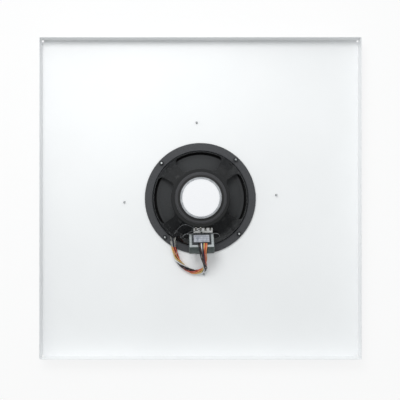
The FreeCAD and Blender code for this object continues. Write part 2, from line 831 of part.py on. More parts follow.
def transformer_strap():
    """Steel strap over the core, its tabs through the pad and folded in behind it"""
    body = new_body("transformer_strap")
    inner, outer = "core_width / 2", "(core_width / 2 + strap_sheet)"
    top = "core_height + strap_sheet"
    bow = new_sketch(body, "strap_bow", "XZ_Plane")
    add_loop(bow, [
        (f"-{outer}", "0"),
        (f"-({inner})", "0"),
        (f"-({inner})", "core_height"),
        (inner, "core_height"),
        (inner, "0"),
        (outer, "0"),
        (outer, top),
        (f"-{outer}", top),
    ])
    add_pad(body, bow, "core_stack + 2 * strap_overhang", symmetric=True)
    tabs = new_sketch(body, "strap_tabs", "XZ_Plane")
    fold_top = "-(basket_sheet + hole_play)"
    fold_low = "-(basket_sheet + hole_play + strap_sheet)"
    reach = f"({inner} - tab_fold)"
    for sign in ("", "-"):
        add_loop(tabs, [
            (f"{sign}({outer})", "0"),
            (f"{sign}({inner})", "0"),
            (f"{sign}({inner})", fold_top),
            (f"{sign}({reach})", fold_top),
            (f"{sign}({reach})", fold_low),
            (f"{sign}({outer})", fold_low),
        ])
    add_pad(body, tabs, "tab_width", symmetric=True)
    return body


def coil_parts():
    """Bobbin, winding and wrap about the core's centre limb"""
    low = "core_limb + bobbin_play"
    high = "core_height - core_limb - bobbin_play"
    limb_x, limb_y = "core_limb + bobbin_play", "core_stack / 2 + bobbin_play"
    tube_x, tube_y = limb_x + " + bobbin_sheet", limb_y + " + bobbin_sheet"
    wrap_x = "core_width / 2 - core_limb - coil_gap"
    wrap_y = "core_stack / 2 + coil_bulge"
    coil_x, coil_y = wrap_x + " - wrap_sheet", wrap_y + " - wrap_sheet"
    bobbin = new_body("transformer_bobbin")
    for name, height in (("lower", low), ("upper", high + " - bobbin_sheet")):
        flange = new_sketch(bobbin, f"bobbin_{name}", "XY_Plane", height=height)
        add_loop(flange, box_loop(wrap_x, wrap_y + " + bobbin_sheet"))
        add_loop(flange, box_loop(limb_x, limb_y))
        add_pad(bobbin, flange, "bobbin_sheet")
        if name == "lower":
            tube = new_sketch(bobbin, "bobbin_tube", "XY_Plane", height=low)
            add_loop(tube, box_loop(tube_x, tube_y))
            add_loop(tube, box_loop(limb_x, limb_y))
            add_pad(bobbin, tube, f"{high} - ({low})")
    parts = [bobbin]
    length = f"{high} - ({low}) - 2 * bobbin_sheet"
    for label, outer, inner in (
        ("transformer_winding", (coil_x, coil_y), (tube_x, tube_y)),
        ("coil_wrap", (wrap_x, wrap_y), (coil_x, coil_y)),
    ):
        body = new_body(label)
        sketch = new_sketch(body, label + "_outline", "XY_Plane", height=low + " + bobbin_sheet")
        add_loop(sketch, box_loop(*outer))
        add_loop(sketch, box_loop(*inner))
        add_pad(body, sketch, length)
        parts.append(body)
    return parts


def lug_place(index):
    return f"board_shift + {index - (LUGS - 1) / 2} * lug_pitch"


def terminal_parts():
    """Terminal board on the basket's wall, with its lugs, eyelets and rivet"""
    under = "-pad_rise"
    top = "board_sheet - pad_rise"
    far = "board_place + board_depth / 2"
    eye = "board_place + board_depth / 5"
    board = new_body("terminal_board")
    sketch = new_sketch(board, "board_outline", "XY_Plane", height=under)
    add_loop(sketch, span_loop(
        "board_shift - board_width / 2", "board_shift + board_width / 2",
        "board_place - board_depth / 2", far,
    ))
    for index in range(LUGS):
        add_circle(sketch, lug_place(index), eye, "eyelet_radius")
    add_circle(sketch, "0", "board_rivet_place", "board_rivet")
    add_pad(board, sketch, "board_sheet")
    lugs = new_body("terminal_lugs")
    sketch = new_sketch(lugs, "lug_outline", "XY_Plane", height=top)
    for index in range(LUGS):
        place = lug_place(index)
        add_loop(sketch, span_loop(
            f"{place} - lug_width / 2", f"{place} + lug_width / 2",
            f"{eye} - lug_width / 2", f"{far} + lug_reach",
        ))
        add_circle(sketch, place, eye, "eyelet_radius")
    add_pad(lugs, sketch, "lug_sheet")
    eyelets = new_body("lug_eyelets")
    shank = new_sketch(eyelets, "eyelet_shank", "XY_Plane", height=under)
    head = new_sketch(eyelets, "eyelet_heads", "XY_Plane", height=top + " + lug_sheet")
    for index in range(LUGS):
        add_circle(shank, lug_place(index), eye, "eyelet_radius")
        add_circle(head, lug_place(index), eye, "eyelet_head * 0.75")
    add_pad(eyelets, shank, "board_sheet + lug_sheet")
    add_pad(eyelets, head, "lug_sheet")
    rivet = new_body("board_rivet")
    revolve(rivet, "rivet_profile", [
        ("0", "-(pad_rise + 2 * basket_sheet)"),
        ("board_rivet", "-(pad_rise + 2 * basket_sheet)"),
        ("board_rivet", top),
        ("board_rivet_head", top),
        ("board_rivet_head * 0.6", top + " + lug_sheet * 2"),
        ("0", top + " + lug_sheet * 2"),
    ])
    shift = FreeCAD.Placement(FreeCAD.Vector(0, size("board_rivet_place"), 0), FreeCAD.Rotation())
    frame = pad_frame(size("assembly_turn") - 90)
    rivet.Placement = frame * shift
    for body in (board, lugs, eyelets):
        body.Placement = frame
    return [board, lugs, eyelets, rivet]


def grommets():
    parts = []
    for name, angle in (("first", "grommet_first"), ("second", "grommet_second")):
        body = new_body(f"lead_grommet_{name}")
        bore = "speaker_lead / 2 + glue_gap / 3"
        revolve(body, f"grommet_{name}_profile", [
            (bore, "-2 * basket_sheet"),
            ("grommet_neck", "-2 * basket_sheet"),
            ("grommet_neck", "glue_gap / 3"),
            ("grommet_radius", "glue_gap / 3"),
            ("grommet_radius", "grommet_flange"),
            (bore, "grommet_flange"),
        ])
        turn = size(angle) + size("assembly_turn")
        body.Placement = wall_place(size("grommet_circle"), turn)
        parts.append(body)
    return parts


def rounded_path(points):
    """Wire of straight runs joined by tangent arcs, with each arc's radius"""
    edges = []
    radii = []
    start = points[0]
    for before, corner, after in zip(points, points[1:], points[2:]):
        back, ahead = before - corner, after - corner
        turn = math.pi - back.getAngle(ahead)
        reach = 0.45 * min(back.Length, ahead.Length)
        back.normalize()
        ahead.normalize()
        radii.append(reach / math.tan(turn / 2))
        first, last = corner + back * reach, corner + ahead * reach
        bisector = back + ahead
        bisector.normalize()
        depth = math.hypot(radii[-1], reach) - radii[-1]
        edges.append(Part.LineSegment(start, first).toShape())
        edges.append(Part.Arc(first, corner + bisector * depth, last).toShape())
        start = last
    edges.append(Part.LineSegment(start, points[-1]).toShape())
    return Part.Wire(edges), radii


def cord(label, points, diameter):
    """Round cord along a rounded path"""
    points = [FreeCAD.Vector(*p) for p in points]
    path, radii = rounded_path(points)
    ring = Part.Wire(Part.Circle(points[0], points[1] - points[0], diameter / 2).toShape())
    tube = path.makePipeShell([ring], True, False)
    expected = math.pi * diameter ** 2 / 4 * path.Length
    if abs(tube.Volume - expected) > 0.01 * expected:
        raise RuntimeError(f"{label}: volume {tube.Volume:.1f}, expected {expected:.1f}")
    print(label, f"length {path.Length:.1f}, smallest radius {min(radii):.1f}")
    feature = doc.addObject("Part::Feature", label)
    feature.Label = label
    feature.Shape = tube
    feature.Placement = FreeCAD.Placement()
    return feature


LEADS = [
    "lead_orange", "lead_red", "lead_yellow", "lead_blue", "lead_white", "lead_brown", "lead_black",
]

# Middle of the bundle of leads, over the transformer, in the pad's own frame.
BUNDLE_HIGH = [(1.7, 0.0, 38.8), (3.3, -13.4, 39.2), (5.1, -28.6, 37.8), (5.7, -44.4, 34.4)]
# The rest of it, in shares of the rim's radius and heights above the tile's floor.
BUNDLE_LOW = [
    (0.083, -1.265, 11.6),
    (-0.009, -1.318, 6.4),
    (-0.137, -1.322, 6.2),
    (-0.264, -1.255, 6.2),
    (-0.360, -1.175, 6.2),
    (-0.424, -1.078, 6.2),
    (-0.452, -0.966, 8.6),
    (-0.483, -0.842, 11.6),
]
BUNDLE_TIP = (-0.487, -0.725, 13.8)
# Place of each lead around the bundle, in degrees; one runs in its middle.
BUNDLE_SLOTS = [180.0, 120.0, 240.0, None, 300.0, 60.0, 0.0]
# Radius of the twisted bundle at each of its points, from the third on.
BUNDLE_RADII = [3.4, 4.0, 4.2, 4.2, 4.2, 4.3, 4.5, 4.4, 4.0, 3.6]
# How far it has twisted there: evenly, then slackening towards the tips.
BUNDLE_TWISTS = [0.0, 85.0, 170.0, 255.0, 340.0, 425.0, 510.0, 595.0, 640.0, 660.0]
FLAT_PITCH = 2.5
# Where each lead lies over the strap: pitches across and height, two of them under the others.
FLAT_ROW = [(-2.0, 2.2), (-1.0, 2.3), (-0.6, -0.9), (0.0, 2.8), (0.5, -0.9), (1.05, 2.4), (2.1, 2.2)]
# Ends of the leads about the bundle's tip.
TIPS = [
    (-2.6, -5.6, 3.4),
    (2.6, -5.0, 3.6),
    (-5.2, -3.6, 0.6),
    (5.0, 3.2, 1.2),
    (-4.6, 4.8, -1.4),
    (5.4, -4.6, -2.2),
    (2.2, 2.6, -3.2),
]


def rim_spot(share_x, share_y, height):
    """Point placed by shares of the rim's radius and a height above the tile's floor"""
    rim = size("rim_radius")
    return FreeCAD.Vector(share_x * rim, share_y * rim, size(FLOOR) + height)


def bundle_frames():
    """Sideways and upward directions across the bundle at each of its points"""
    frame = pad_frame(size("assembly_turn") - 90)
    spots = [frame.multVec(FreeCAD.Vector(*p)) for p in BUNDLE_HIGH]
    spots += [rim_spot(*p) for p in BUNDLE_LOW]
    frames = []
    for index, spot in enumerate(spots):
        ahead = spots[min(index + 1, len(spots) - 1)] - spots[max(index - 1, 0)]
        side = ahead.cross(FreeCAD.Vector(0, 0, 1))
        side.normalize()
        above = side.cross(ahead)
        above.normalize()
        frames.append((spot, side, above))
    return frames


def lead_points(number):
    """Route of one lead: out of the coil, flat over the strap, twisted, then fanned at its tip"""
    frame = pad_frame(size("assembly_turn") - 90)
    across = (3 - number) * FLAT_PITCH + 1.8
    face = size("core_height - core_limb - bobbin_play")
    front = size("core_stack / 2 + coil_bulge - core_shift") - 1.6
    rise = size("core_limb + strap_sheet")
    points = [
        frame.multVec(FreeCAD.Vector(across, front, face)),
        frame.multVec(FreeCAD.Vector(across, front, face + rise + 0.6)),
    ]
    frames = bundle_frames()
    for index, (spot, side, above) in enumerate(frames):
        if index < 2:
            pitches, lift = FLAT_ROW[number]
            points.append(spot + side * (pitches * FLAT_PITCH) + above * lift)
        elif BUNDLE_SLOTS[number] is None:
            points.append(spot)
        else:
            angle = math.radians(BUNDLE_SLOTS[number] + BUNDLE_TWISTS[index - 2])
            offset = side * math.cos(angle) + above * math.sin(angle)
            points.append(spot + offset * BUNDLE_RADII[index - 2])
    points.append(rim_spot(*BUNDLE_TIP) + FreeCAD.Vector(*TIPS[number]))
    return points


# Thin leads from the first two lugs down to the grommets, in the pad's own frame.
SPEAKER_LEADS = [
    [
        (-10.3, 24.0, 2.5),
        (-17.2, 28.0, 3.4),
        (-24.9, 32.7, 2.1),
        (-32.6, 31.8, 0.6),
        (-39.3, 25.7, -0.5),
        (-44.9, 17.1, -0.2),
        (-49.0, 10.1, -0.3),
    ],
    [
        (-1.3, 22.7, 2.1),
        (-6.6, 21.6, 5.8),
        (-13.2, 19.9, 6.3),
        (-19.8, 17.7, 4.9),
        (-26.7, 12.6, 4.4),
        (-33.6, 7.0, 5.5),
        (-38.5, 2.8, 5.3),
    ],
]
# Flexible braid behind each grommet: how far inwards of it, and how high above the cone's back.
BRAID = [(9.0, 4.3), (14.2, 1.2), (19.8, 1.2)]


def cone_back(radius):
    """Height of the cone's back at a radius"""
    slope = size("cone_depth / (cone_edge - former_radius)")
    return size(CONE_FACE + " + cone_sheet") + slope * (size("cone_edge") - radius)


def speaker_leads():
    """Leads outside the basket and the braids that go on from them inside to the cone"""
    parts = []
    names = ("first", "second")
    for name, points in zip(names, SPEAKER_LEADS):
        angle = size(f"grommet_{name} + assembly_turn")
        seat = wall_place(size("grommet_circle"), angle)
        joint = seat.multVec(FreeCAD.Vector(0, 0, size("grommet_flange / 2")))
        entry = seat.multVec(FreeCAD.Vector(0, 0, 9.0))
        frame = pad_frame(size("assembly_turn") - 90)
        route = [frame.multVec(FreeCAD.Vector(*p)) for p in points] + [entry, joint]
        parts.append(cord(f"speaker_lead_{name}", route, size("speaker_lead")))
        inside = [joint, seat.multVec(FreeCAD.Vector(0, 0, -6.6))]
        for inwards, lift in BRAID:
            radius = size("grommet_circle") - inwards
            spot = FreeCAD.Vector(radius, 0, cone_back(radius) + lift)
            inside.append(turned(angle).multVec(spot))
        parts.append(cord(f"cone_braid_{name}", inside, size("braid")))
    return parts


def build():
    parts = [tile_panel(), front_grille(), grille_screws(), driver_bolts(), driver_nuts()]
    parts += [gasket(), surround(), basket(), cone(), dust_cap(), spider()]
    parts += motor_parts()
    shift = FreeCAD.Placement(FreeCAD.Vector(0, -size("core_shift"), 0), FreeCAD.Rotation())
    frame = pad_frame(size("assembly_turn") - 90) * shift
    iron = [transformer_core(), transformer_strap()] + coil_parts()
    for body in iron:
        body.Placement = frame
    parts += iron
    parts += terminal_parts()
    parts += grommets()
    parts += speaker_leads()
    for number, label in enumerate(LEADS):
        parts.append(cord(label, lead_points(number), size("lead")))
    return parts


def check(parts):
    doc.recompute()
    for item in doc.Objects:
        if "Invalid" in item.State or "Error" in item.State:
            raise RuntimeError(f"{item.Label} failed: {item.State}")
    for part in parts:
        if part.Shape.isNull() or not part.Shape.isValid():
            raise RuntimeError(f"{part.Label} has no valid shape")


parts = build()
check(parts)
os.makedirs("parts", exist_ok=True)
for part in parts:
    part.Shape.exportStep(f"parts/{part.Label}.step")
print(len(parts), "pieces")
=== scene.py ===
import math
import bmesh
import bpy
from mathutils import Euler, Matrix, Vector


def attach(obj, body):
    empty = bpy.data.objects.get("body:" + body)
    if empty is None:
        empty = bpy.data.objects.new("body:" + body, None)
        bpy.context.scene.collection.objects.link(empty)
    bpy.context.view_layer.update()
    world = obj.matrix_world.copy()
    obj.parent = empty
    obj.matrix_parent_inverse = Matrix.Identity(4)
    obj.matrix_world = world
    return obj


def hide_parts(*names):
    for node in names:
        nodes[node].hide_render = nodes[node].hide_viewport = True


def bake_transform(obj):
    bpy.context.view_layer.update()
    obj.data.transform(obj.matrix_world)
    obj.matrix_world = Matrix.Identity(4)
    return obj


# Ceiling tile loudspeaker, seen from the plenum side. Metres, in the frame of the solids.

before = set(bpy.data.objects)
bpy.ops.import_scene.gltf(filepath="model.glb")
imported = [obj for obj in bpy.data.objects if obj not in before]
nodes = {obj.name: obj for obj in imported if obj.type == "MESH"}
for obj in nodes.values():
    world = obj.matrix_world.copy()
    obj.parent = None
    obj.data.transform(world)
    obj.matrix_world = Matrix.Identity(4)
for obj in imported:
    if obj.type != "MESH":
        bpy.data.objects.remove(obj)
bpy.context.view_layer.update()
scene = bpy.context.scene
scene.view_settings.view_transform = "Standard"

FULL = 2 * math.pi
# The driver and its grille sit turned a little in the tile.
TURN = math.radians(2.7)
FLANGE_TOP = 0.0335
RIM_TOP = 0.0123
SCREW_CIRCLE, BOLT_CIRCLE = 0.1450, 0.0995

# The transformer's own frame: its pad on the basket's wall, Z along the wall's normal.
SLOPE = math.radians(42.546)
PAD_YAW = math.radians(1.2)
PAD_TURN = (SLOPE, 0.0, PAD_YAW)
PAD_SPOT = (0.0014857, -0.0709254, 0.0356195)
PAD = Matrix.Translation(PAD_SPOT) @ Euler(PAD_TURN).to_matrix().to_4x4()
# The pad's ends are round: from its middle to an end's centre, and the end's radius.
PAD_HALF, PAD_ROUND = 0.0272, 0.0065
# The core stands a little down the slope from the pad's middle.
CORE_SHIFT = -0.0024
CORE_SPOT = tuple(PAD @ Vector((0.0, CORE_SHIFT, 0.0)))
CORE_STACK = 0.0160

# Route of each lead and braid, from its fixed end.
ROUTES = {
    "lead_orange": [
        (0.01103, -0.08252, 0.06178), (0.01113, -0.08736, 0.06705), (0.00891, -0.09764, 0.06588),
        (0.01074, -0.10781, 0.05702), (0.01093, -0.11695, 0.04413), (0.00846, -0.12347, 0.02867),
        (0.00577, -0.13055, 0.02038), (-0.00209, -0.13822, 0.01966), (-0.01541, -0.14330, 0.01694),
        (-0.02885, -0.13392, 0.01160), (-0.03509, -0.12135, 0.01325), (-0.04228, -0.11304, 0.01909),
        (-0.04816, -0.10287, 0.02175), (-0.05254, -0.08992, 0.02394), (-0.05398, -0.08209, 0.02650),
    ],
    "lead_red": [
        (0.00853, -0.08258, 0.06178), (0.00863, -0.08741, 0.06705), (0.00646, -0.09815, 0.06595),
        (0.00830, -0.10834, 0.05709), (0.00957, -0.11947, 0.04598), (0.01187, -0.12511, 0.02998),
        (0.00929, -0.13038, 0.01809), (-0.00220, -0.13518, 0.01676), (-0.01466, -0.14017, 0.01964),
        (-0.03021, -0.13598, 0.01513), (-0.03798, -0.12396, 0.01100), (-0.04074, -0.11193, 0.01512),
        (-0.04458, -0.10168, 0.02042), (-0.04905, -0.08905, 0.02394), (-0.04878, -0.08149, 0.02670),
    ],
    "lead_yellow": [
        (0.00603, -0.08263, 0.06178), (0.00613, -0.08746, 0.06705), (0.00511, -0.09628, 0.06352),
        (0.00690, -0.10633, 0.05479), (0.00892, -0.11493, 0.04228), (0.00495, -0.12513, 0.02964),
        (0.00524, -0.13363, 0.02319), (-0.00084, -0.14209, 0.01860), (-0.01521, -0.14260, 0.01280),
        (-0.02649, -0.13034, 0.01198), (-0.03509, -0.12135, 0.01775), (-0.04627, -0.11484, 0.01947),
        (-0.05126, -0.10310, 0.01924), (-0.05445, -0.08970, 0.02090), (-0.05658, -0.08009, 0.02370),
    ],
    "lead_blue": [
        (0.00353, -0.08268, 0.06178), (0.00363, -0.08751, 0.06705), (0.00406, -0.09891, 0.06633),
        (0.00591, -0.10914, 0.05745), (0.00756, -0.11744, 0.04413), (0.00836, -0.12677, 0.03094),
        (0.00876, -0.13346, 0.02090), (-0.00095, -0.13905, 0.01570), (-0.01445, -0.13947, 0.01550),
        (-0.02785, -0.13240, 0.01550), (-0.03798, -0.12396, 0.01550), (-0.04473, -0.11373, 0.01550),
        (-0.04769, -0.10191, 0.01790), (-0.05096, -0.08883, 0.02090), (-0.04638, -0.07329, 0.02430),
    ],
    "lead_white": [
        (0.00103, -0.08273, 0.06178), (0.00113, -0.08757, 0.06705), (0.00240, -0.09677, 0.06352),
        (0.00420, -0.10684, 0.05479), (0.00555, -0.11541, 0.04228), (0.00484, -0.12842, 0.03190),
        (0.00823, -0.13654, 0.02371), (0.00030, -0.14292, 0.01464), (-0.01425, -0.13877, 0.01136),
        (-0.02549, -0.12883, 0.01587), (-0.03798, -0.12396, 0.02000), (-0.04873, -0.11553, 0.01588),
        (-0.05079, -0.10214, 0.01538), (-0.05287, -0.08861, 0.01786), (-0.05598, -0.07169, 0.02170),
    ],
    "lead_brown": [
        (-0.00147, -0.08279, 0.06178), (-0.00137, -0.08762, 0.06705), (0.00143, -0.09912, 0.06603),
        (0.00328, -0.10936, 0.05716), (0.00620, -0.11995, 0.04598), (0.01176, -0.12840, 0.03225),
        (0.01227, -0.13328, 0.01861), (-0.00106, -0.13601, 0.01280), (-0.01370, -0.13634, 0.01820),
        (-0.02921, -0.13446, 0.01902), (-0.04087, -0.12658, 0.01325), (-0.04319, -0.11262, 0.01153),
        (-0.04411, -0.10073, 0.01656), (-0.04746, -0.08796, 0.02090), (-0.04598, -0.08109, 0.02090),
    ],
    "lead_black": [
        (-0.00397, -0.08284, 0.06178), (-0.00386, -0.08767, 0.06705), (-0.00118, -0.09945, 0.06588),
        (0.00067, -0.10970, 0.05702), (0.00420, -0.11792, 0.04413), (0.00825, -0.13006, 0.03321),
        (0.01174, -0.13636, 0.02142), (0.00019, -0.13988, 0.01174), (-0.01350, -0.13564, 0.01406),
        (-0.02685, -0.13089, 0.01940), (-0.04087, -0.12658, 0.01775), (-0.04719, -0.11442, 0.01191),
        (-0.04721, -0.10096, 0.01405), (-0.04937, -0.08774, 0.01786), (-0.04918, -0.07389, 0.01990),
    ],
    "speaker_lead_first": [
        (-0.00915, -0.05515, 0.05369), (-0.01609, -0.05296, 0.05706), (-0.02388, -0.04878, 0.05928),
        (-0.03159, -0.04859, 0.05756), (-0.03821, -0.05248, 0.05263), (-0.04367, -0.05914, 0.04703),
        (-0.04766, -0.06431, 0.04223), (-0.04802, -0.06658, 0.03652), (-0.04465, -0.06192, 0.03026),
    ],
    "cone_braid_first": [
        (-0.04465, -0.06192, 0.03026), (-0.04185, -0.05802, 0.02503), (-0.03919, -0.05434, 0.02131),
        (-0.03615, -0.05012, 0.02048), (-0.03287, -0.04558, 0.02292),
    ],
    "speaker_lead_second": [
        (-0.00013, -0.05565, 0.05252), (-0.00536, -0.05907, 0.05450), (-0.01193, -0.06080, 0.05372),
        (-0.01851, -0.06162, 0.05120), (-0.02534, -0.06518, 0.04738), (-0.03214, -0.07019, 0.04440),
        (-0.03697, -0.07325, 0.04142), (-0.03828, -0.07261, 0.03652), (-0.03560, -0.06753, 0.03026),
    ],
    "cone_braid_second": [
        (-0.03560, -0.06753, 0.03026), (-0.03336, -0.06328, 0.02503), (-0.03125, -0.05927, 0.02131),
        (-0.02882, -0.05467, 0.02048), (-0.02621, -0.04971, 0.02292),
    ],
}


def rgb(red, green, blue):
    """Linear colour of a display colour given in 0 to 255"""
    def linear(value):
        share = value / 255
        return share / 12.92 if share <= 0.04045 else ((share + 0.055) / 1.055) ** 2.4
    return (linear(red), linear(green), linear(blue), 1.0)


class Nodes:
    """A node tree, with short ways to add nodes and to set or link their sockets"""

    def __init__(self, tree):
        self.tree = tree

    def put(self, socket, value):
        if isinstance(value, bpy.types.NodeSocket):
            self.tree.links.new(value, socket)
        else:
            socket.default_value = value

    def add(self, kind, inputs=None, **settings):
        node = self.tree.nodes.new("ShaderNode" + kind)
        for name, value in settings.items():
            setattr(node, name, value)
        for name, value in (inputs or {}).items():
            self.put(node.inputs[name], value)
        return node


class Look(Nodes):
    """A procedural material built around one Principled shader"""

    def __init__(self, name, roughness=0.5, metallic=0.0, **sockets):
        self.material = bpy.data.materials.new(name)
        self.material.use_nodes = True
        super().__init__(self.material.node_tree)
        self.shader = self.tree.nodes["Principled BSDF"]
        self.normal = None
        self.rough(roughness)
        self.put(self.shader.inputs["Metallic"], metallic)
        for socket, value in sockets.items():
            self.put(self.shader.inputs[socket.replace("_", " ")], value)

    def stretched(self, vector, stretch):
        return self.add("Mapping", {"Vector": vector, "Scale": stretch}).outputs[0]

    def spot(self, stretch=None):
        """Object coordinates, stretched where asked"""
        coords = self.add("TexCoord").outputs["Object"]
        return self.stretched(coords, stretch) if stretch else coords

    def pad_spot(self, place=PAD_SPOT):
        """Coordinates along the transformer's pad, from a place on it"""
        inputs = {"Vector": self.spot(), "Location": place, "Rotation": PAD_TURN}
        return self.add("Mapping", inputs, vector_type="TEXTURE").outputs[0]

    def noise(self, scale, detail=2.0, vector=None):
        inputs = {"Scale": scale, "Detail": detail}
        inputs["Vector"] = vector if vector is not None else self.spot()
        return self.add("TexNoise", inputs).outputs["Fac"]

    def waves(self, scale, vector, axis, distort=0.0, rings=False):
        kind = {"wave_type": "RINGS", "rings_direction": axis} if rings else {"bands_direction": axis}
        inputs = {"Vector": vector, "Scale": scale, "Distortion": distort}
        return self.add("TexWave", inputs, **kind).outputs["Fac"]

    def ramp(self, fac, *stops):
        """Colour ramp through (position, colour or grey level)"""
        node = self.add("ValToRGB", {"Fac": fac})
        ramp = node.color_ramp
        while len(ramp.elements) < len(stops):
            ramp.elements.new(0.5)
        for element, (position, value) in zip(ramp.elements, stops):
            element.position = position
            grey = not hasattr(value, "__len__")
            element.color = (value, value, value, 1.0) if grey else value
        return node.outputs["Color"]

    def fade(self, measure, scale, *stops):
        """Ramp over a measure in metres, scaled so that its stops lie between 0 and 1"""
        places = [(scale * place, value) for place, value in stops]
        return self.ramp(self.math("MULTIPLY", measure, scale), *places)

    def mix(self, fac, first, second):
        node = self.add("Mix", data_type="RGBA")
        self.put(node.inputs[0], fac)
        self.put(node.inputs[6], first)
        self.put(node.inputs[7], second)
        return node.outputs[2]

    def math(self, kind, first, second=0.0):
        return self.add("Math", {0: first, 1: second}, operation=kind).outputs[0]

    def part(self, vector, axis):
        return self.add("SeparateXYZ", {"Vector": vector}).outputs[axis]

    def aside(self, vector, axis):
        """Distance to either side along an axis"""
        return self.math("ABSOLUTE", self.part(vector, axis))

    def length(self, vector):
        return self.add("VectorMath", {0: vector}, operation="LENGTH").outputs["Value"]

    def radius(self):
        """Distance from the driver's axis"""
        flat = self.add("VectorMath", {0: self.spot(), 1: (1.0, 1.0, 0.0)}, operation="MULTIPLY")
        return self.length(flat.outputs[0])

    def seen(self):
        """One for rays that come from the camera or a mirror-like or clear surface"""
        path = self.add("LightPath").outputs
        direct = self.math("MAXIMUM", path["Is Camera Ray"], path["Is Glossy Ray"])
        return self.math("MAXIMUM", direct, path["Is Transmission Ray"])

    def bump(self, height, distance, strength):
        """Relief on top of the reliefs before it"""
        inputs = {"Height": height, "Distance": distance, "Strength": strength}
        if self.normal is not None:
            inputs["Normal"] = self.normal
        self.normal = self.add("Bump", inputs).outputs["Normal"]
        self.put(self.shader.inputs["Normal"], self.normal)

    def paint(self, color):
        self.put(self.shader.inputs["Base Color"], color)

    def rough(self, value):
        self.put(self.shader.inputs["Roughness"], value)


def powder_coat():
    """White powder coat, scuffed along the flanges' cut edges"""
    look = Look("white_powder_coat", Specular_IOR_Level=0.35)
    cloud = look.ramp(look.noise(5.0, 3.0), (0.35, rgb(243, 244, 245)), (0.65, rgb(246, 247, 248)))
    height = look.part(look.spot(), "Z")
    edge = look.fade(height, 10.0, (FLANGE_TOP - 0.0005, 0.0), (FLANGE_TOP - 0.00005, 1.0))
    scuff = look.ramp(look.noise(260.0, 4.0), (0.3, rgb(236, 238, 238)), (0.6, rgb(246, 247, 248)))
    look.paint(look.mix(edge, cloud, scuff))
    look.rough(look.ramp(look.noise(420.0), (0.3, 0.36), (0.7, 0.5)))
    look.bump(look.noise(950.0), 0.00006, 0.5)
    look.bump(look.noise(9.0, 1.0), 0.0009, 0.25)
    return look


def grille_paint():
    """White paint, a little greyer and finer in grain than the tile's"""
    look = Look("grille_paint", Specular_IOR_Level=0.35)
    cloud = look.noise(30.0, 3.0)
    look.paint(look.ramp(cloud, (0.3, rgb(238, 239, 237)), (0.7, rgb(243, 244, 243))))
    look.rough(look.ramp(look.noise(500.0), (0.3, 0.4), (0.7, 0.52)))
    look.bump(look.noise(1200.0), 0.00004, 0.5)
    return look


def rim_painted_light(look):
    """Mask and colour of the painted light on the basket's rim: a lighter grey on its upward faces, with a
    painted highlight at the foot of its step
    """
    height = look.part(look.spot(), "Z")
    foot, gone = RIM_TOP + 0.0011, RIM_TOP + 0.0033
    upward = look.part(look.add("NewGeometry").outputs["Normal"], "Z")
    low = look.fade(height, 10.0, (foot, 1.0), (gone, 0.0))
    rim_lightened = look.math("MULTIPLY", look.ramp(upward, (0.35, 0.0), (0.5, 1.0)), low)
    # Painted light: the rim's upward faces are painted a lighter grey, and are also made matte.
    lit_rim_tone = look.ramp(look.noise(330.0, 4.0), (0.3, rgb(56, 57, 60)), (0.7, rgb(67, 68, 71)))
    # Painted highlight: lighter still up to the foot of the rim's step.
    step = look.fade(height, 10.0, (RIM_TOP + 0.0001, 0.0), (foot, 0.4))
    return rim_lightened, look.mix(step, lit_rim_tone, rgb(110, 111, 114))


def pad_edge_highlight(look):
    """Mask of the painted highlight line round the transformer's pad"""
    spot = look.pad_spot()
    past = look.math("SUBTRACT", look.aside(spot, "X"), PAD_HALF)
    corner = {"X": look.math("MAXIMUM", past), "Y": look.part(spot, "Y")}
    reach = look.length(look.add("CombineXYZ", corner).outputs[0])
    border = look.math("ABSOLUTE", look.math("SUBTRACT", reach, PAD_ROUND))
    highlight_line = look.fade(border, 400.0, (0.00025, 1.0), (0.00055, 0.0))
    near = look.fade(look.aside(spot, "Z"), 100.0, (0.0010, 1.0), (0.0014, 0.0))
    patchy = look.ramp(look.noise(300.0, 3.0), (0.38, 0.25), (0.55, 0.9))
    return look.math("MULTIPLY", look.math("MULTIPLY", highlight_line, near), patchy)


def black_paint():
    """Glossy black dip coat over stamped steel: painted light and a matte finish on the rim, a painted
    highlight along the pad's edge
    """
    look = Look("black_dip_paint", Specular_IOR_Level=0.4)
    tone = look.ramp(look.noise(90.0, 4.0), (0.3, rgb(14, 15, 17)), (0.7, rgb(21, 22, 24)))
    rim_lightened, lit_rim_tone = rim_painted_light(look)
    # Painted light: the lighter grey goes over the rim.
    tone = look.mix(rim_lightened, tone, lit_rim_tone)
    specks = look.ramp(look.noise(1900.0), (0.68, 0.0), (0.8, 0.6))
    tone = look.mix(specks, tone, rgb(56, 56, 58))
    # Painted highlight: a light grey line round the transformer's pad.
    look.paint(look.mix(pad_edge_highlight(look), tone, rgb(158, 160, 162)))
    gloss = look.ramp(look.noise(160.0, 3.0), (0.3, 0.07), (0.7, 0.13))
    look.rough(look.mix(rim_lightened, gloss, (0.6, 0.6, 0.6, 1.0)))
    look.bump(look.noise(1400.0), 0.00001, 0.5)
    look.bump(look.noise(140.0), 0.0001, 0.25)
    return look


def plated(name, light, dark, roughness, scale=260.0):
    """Plated or bare metal: cloudy, with fine scratches"""
    look = Look(name, metallic=1.0)
    look.paint(look.ramp(look.noise(scale, 4.0), (0.3, dark), (0.7, light)))
    low, high = roughness
    look.rough(look.ramp(look.noise(scale * 2.5, 3.0), (0.3, low), (0.7, high)))
    look.bump(look.noise(900.0, 3.0, look.spot((1.0, 0.08, 1.0))), 0.00003, 0.5)
    return look


def turned_steel():
    """Machined plate with fine rings of the tool"""
    look = Look("turned_steel", metallic=1.0)
    rings = look.waves(900.0, look.spot(), "Z", 0.4, rings=True)
    look.paint(look.ramp(look.noise(120.0, 3.0), (0.3, rgb(150, 152, 156)), (0.7, rgb(186, 188, 191))))
    look.rough(look.ramp(rings, (0.0, 0.26), (1.0, 0.4)))
    look.bump(rings, 0.00002, 0.4)
    return look


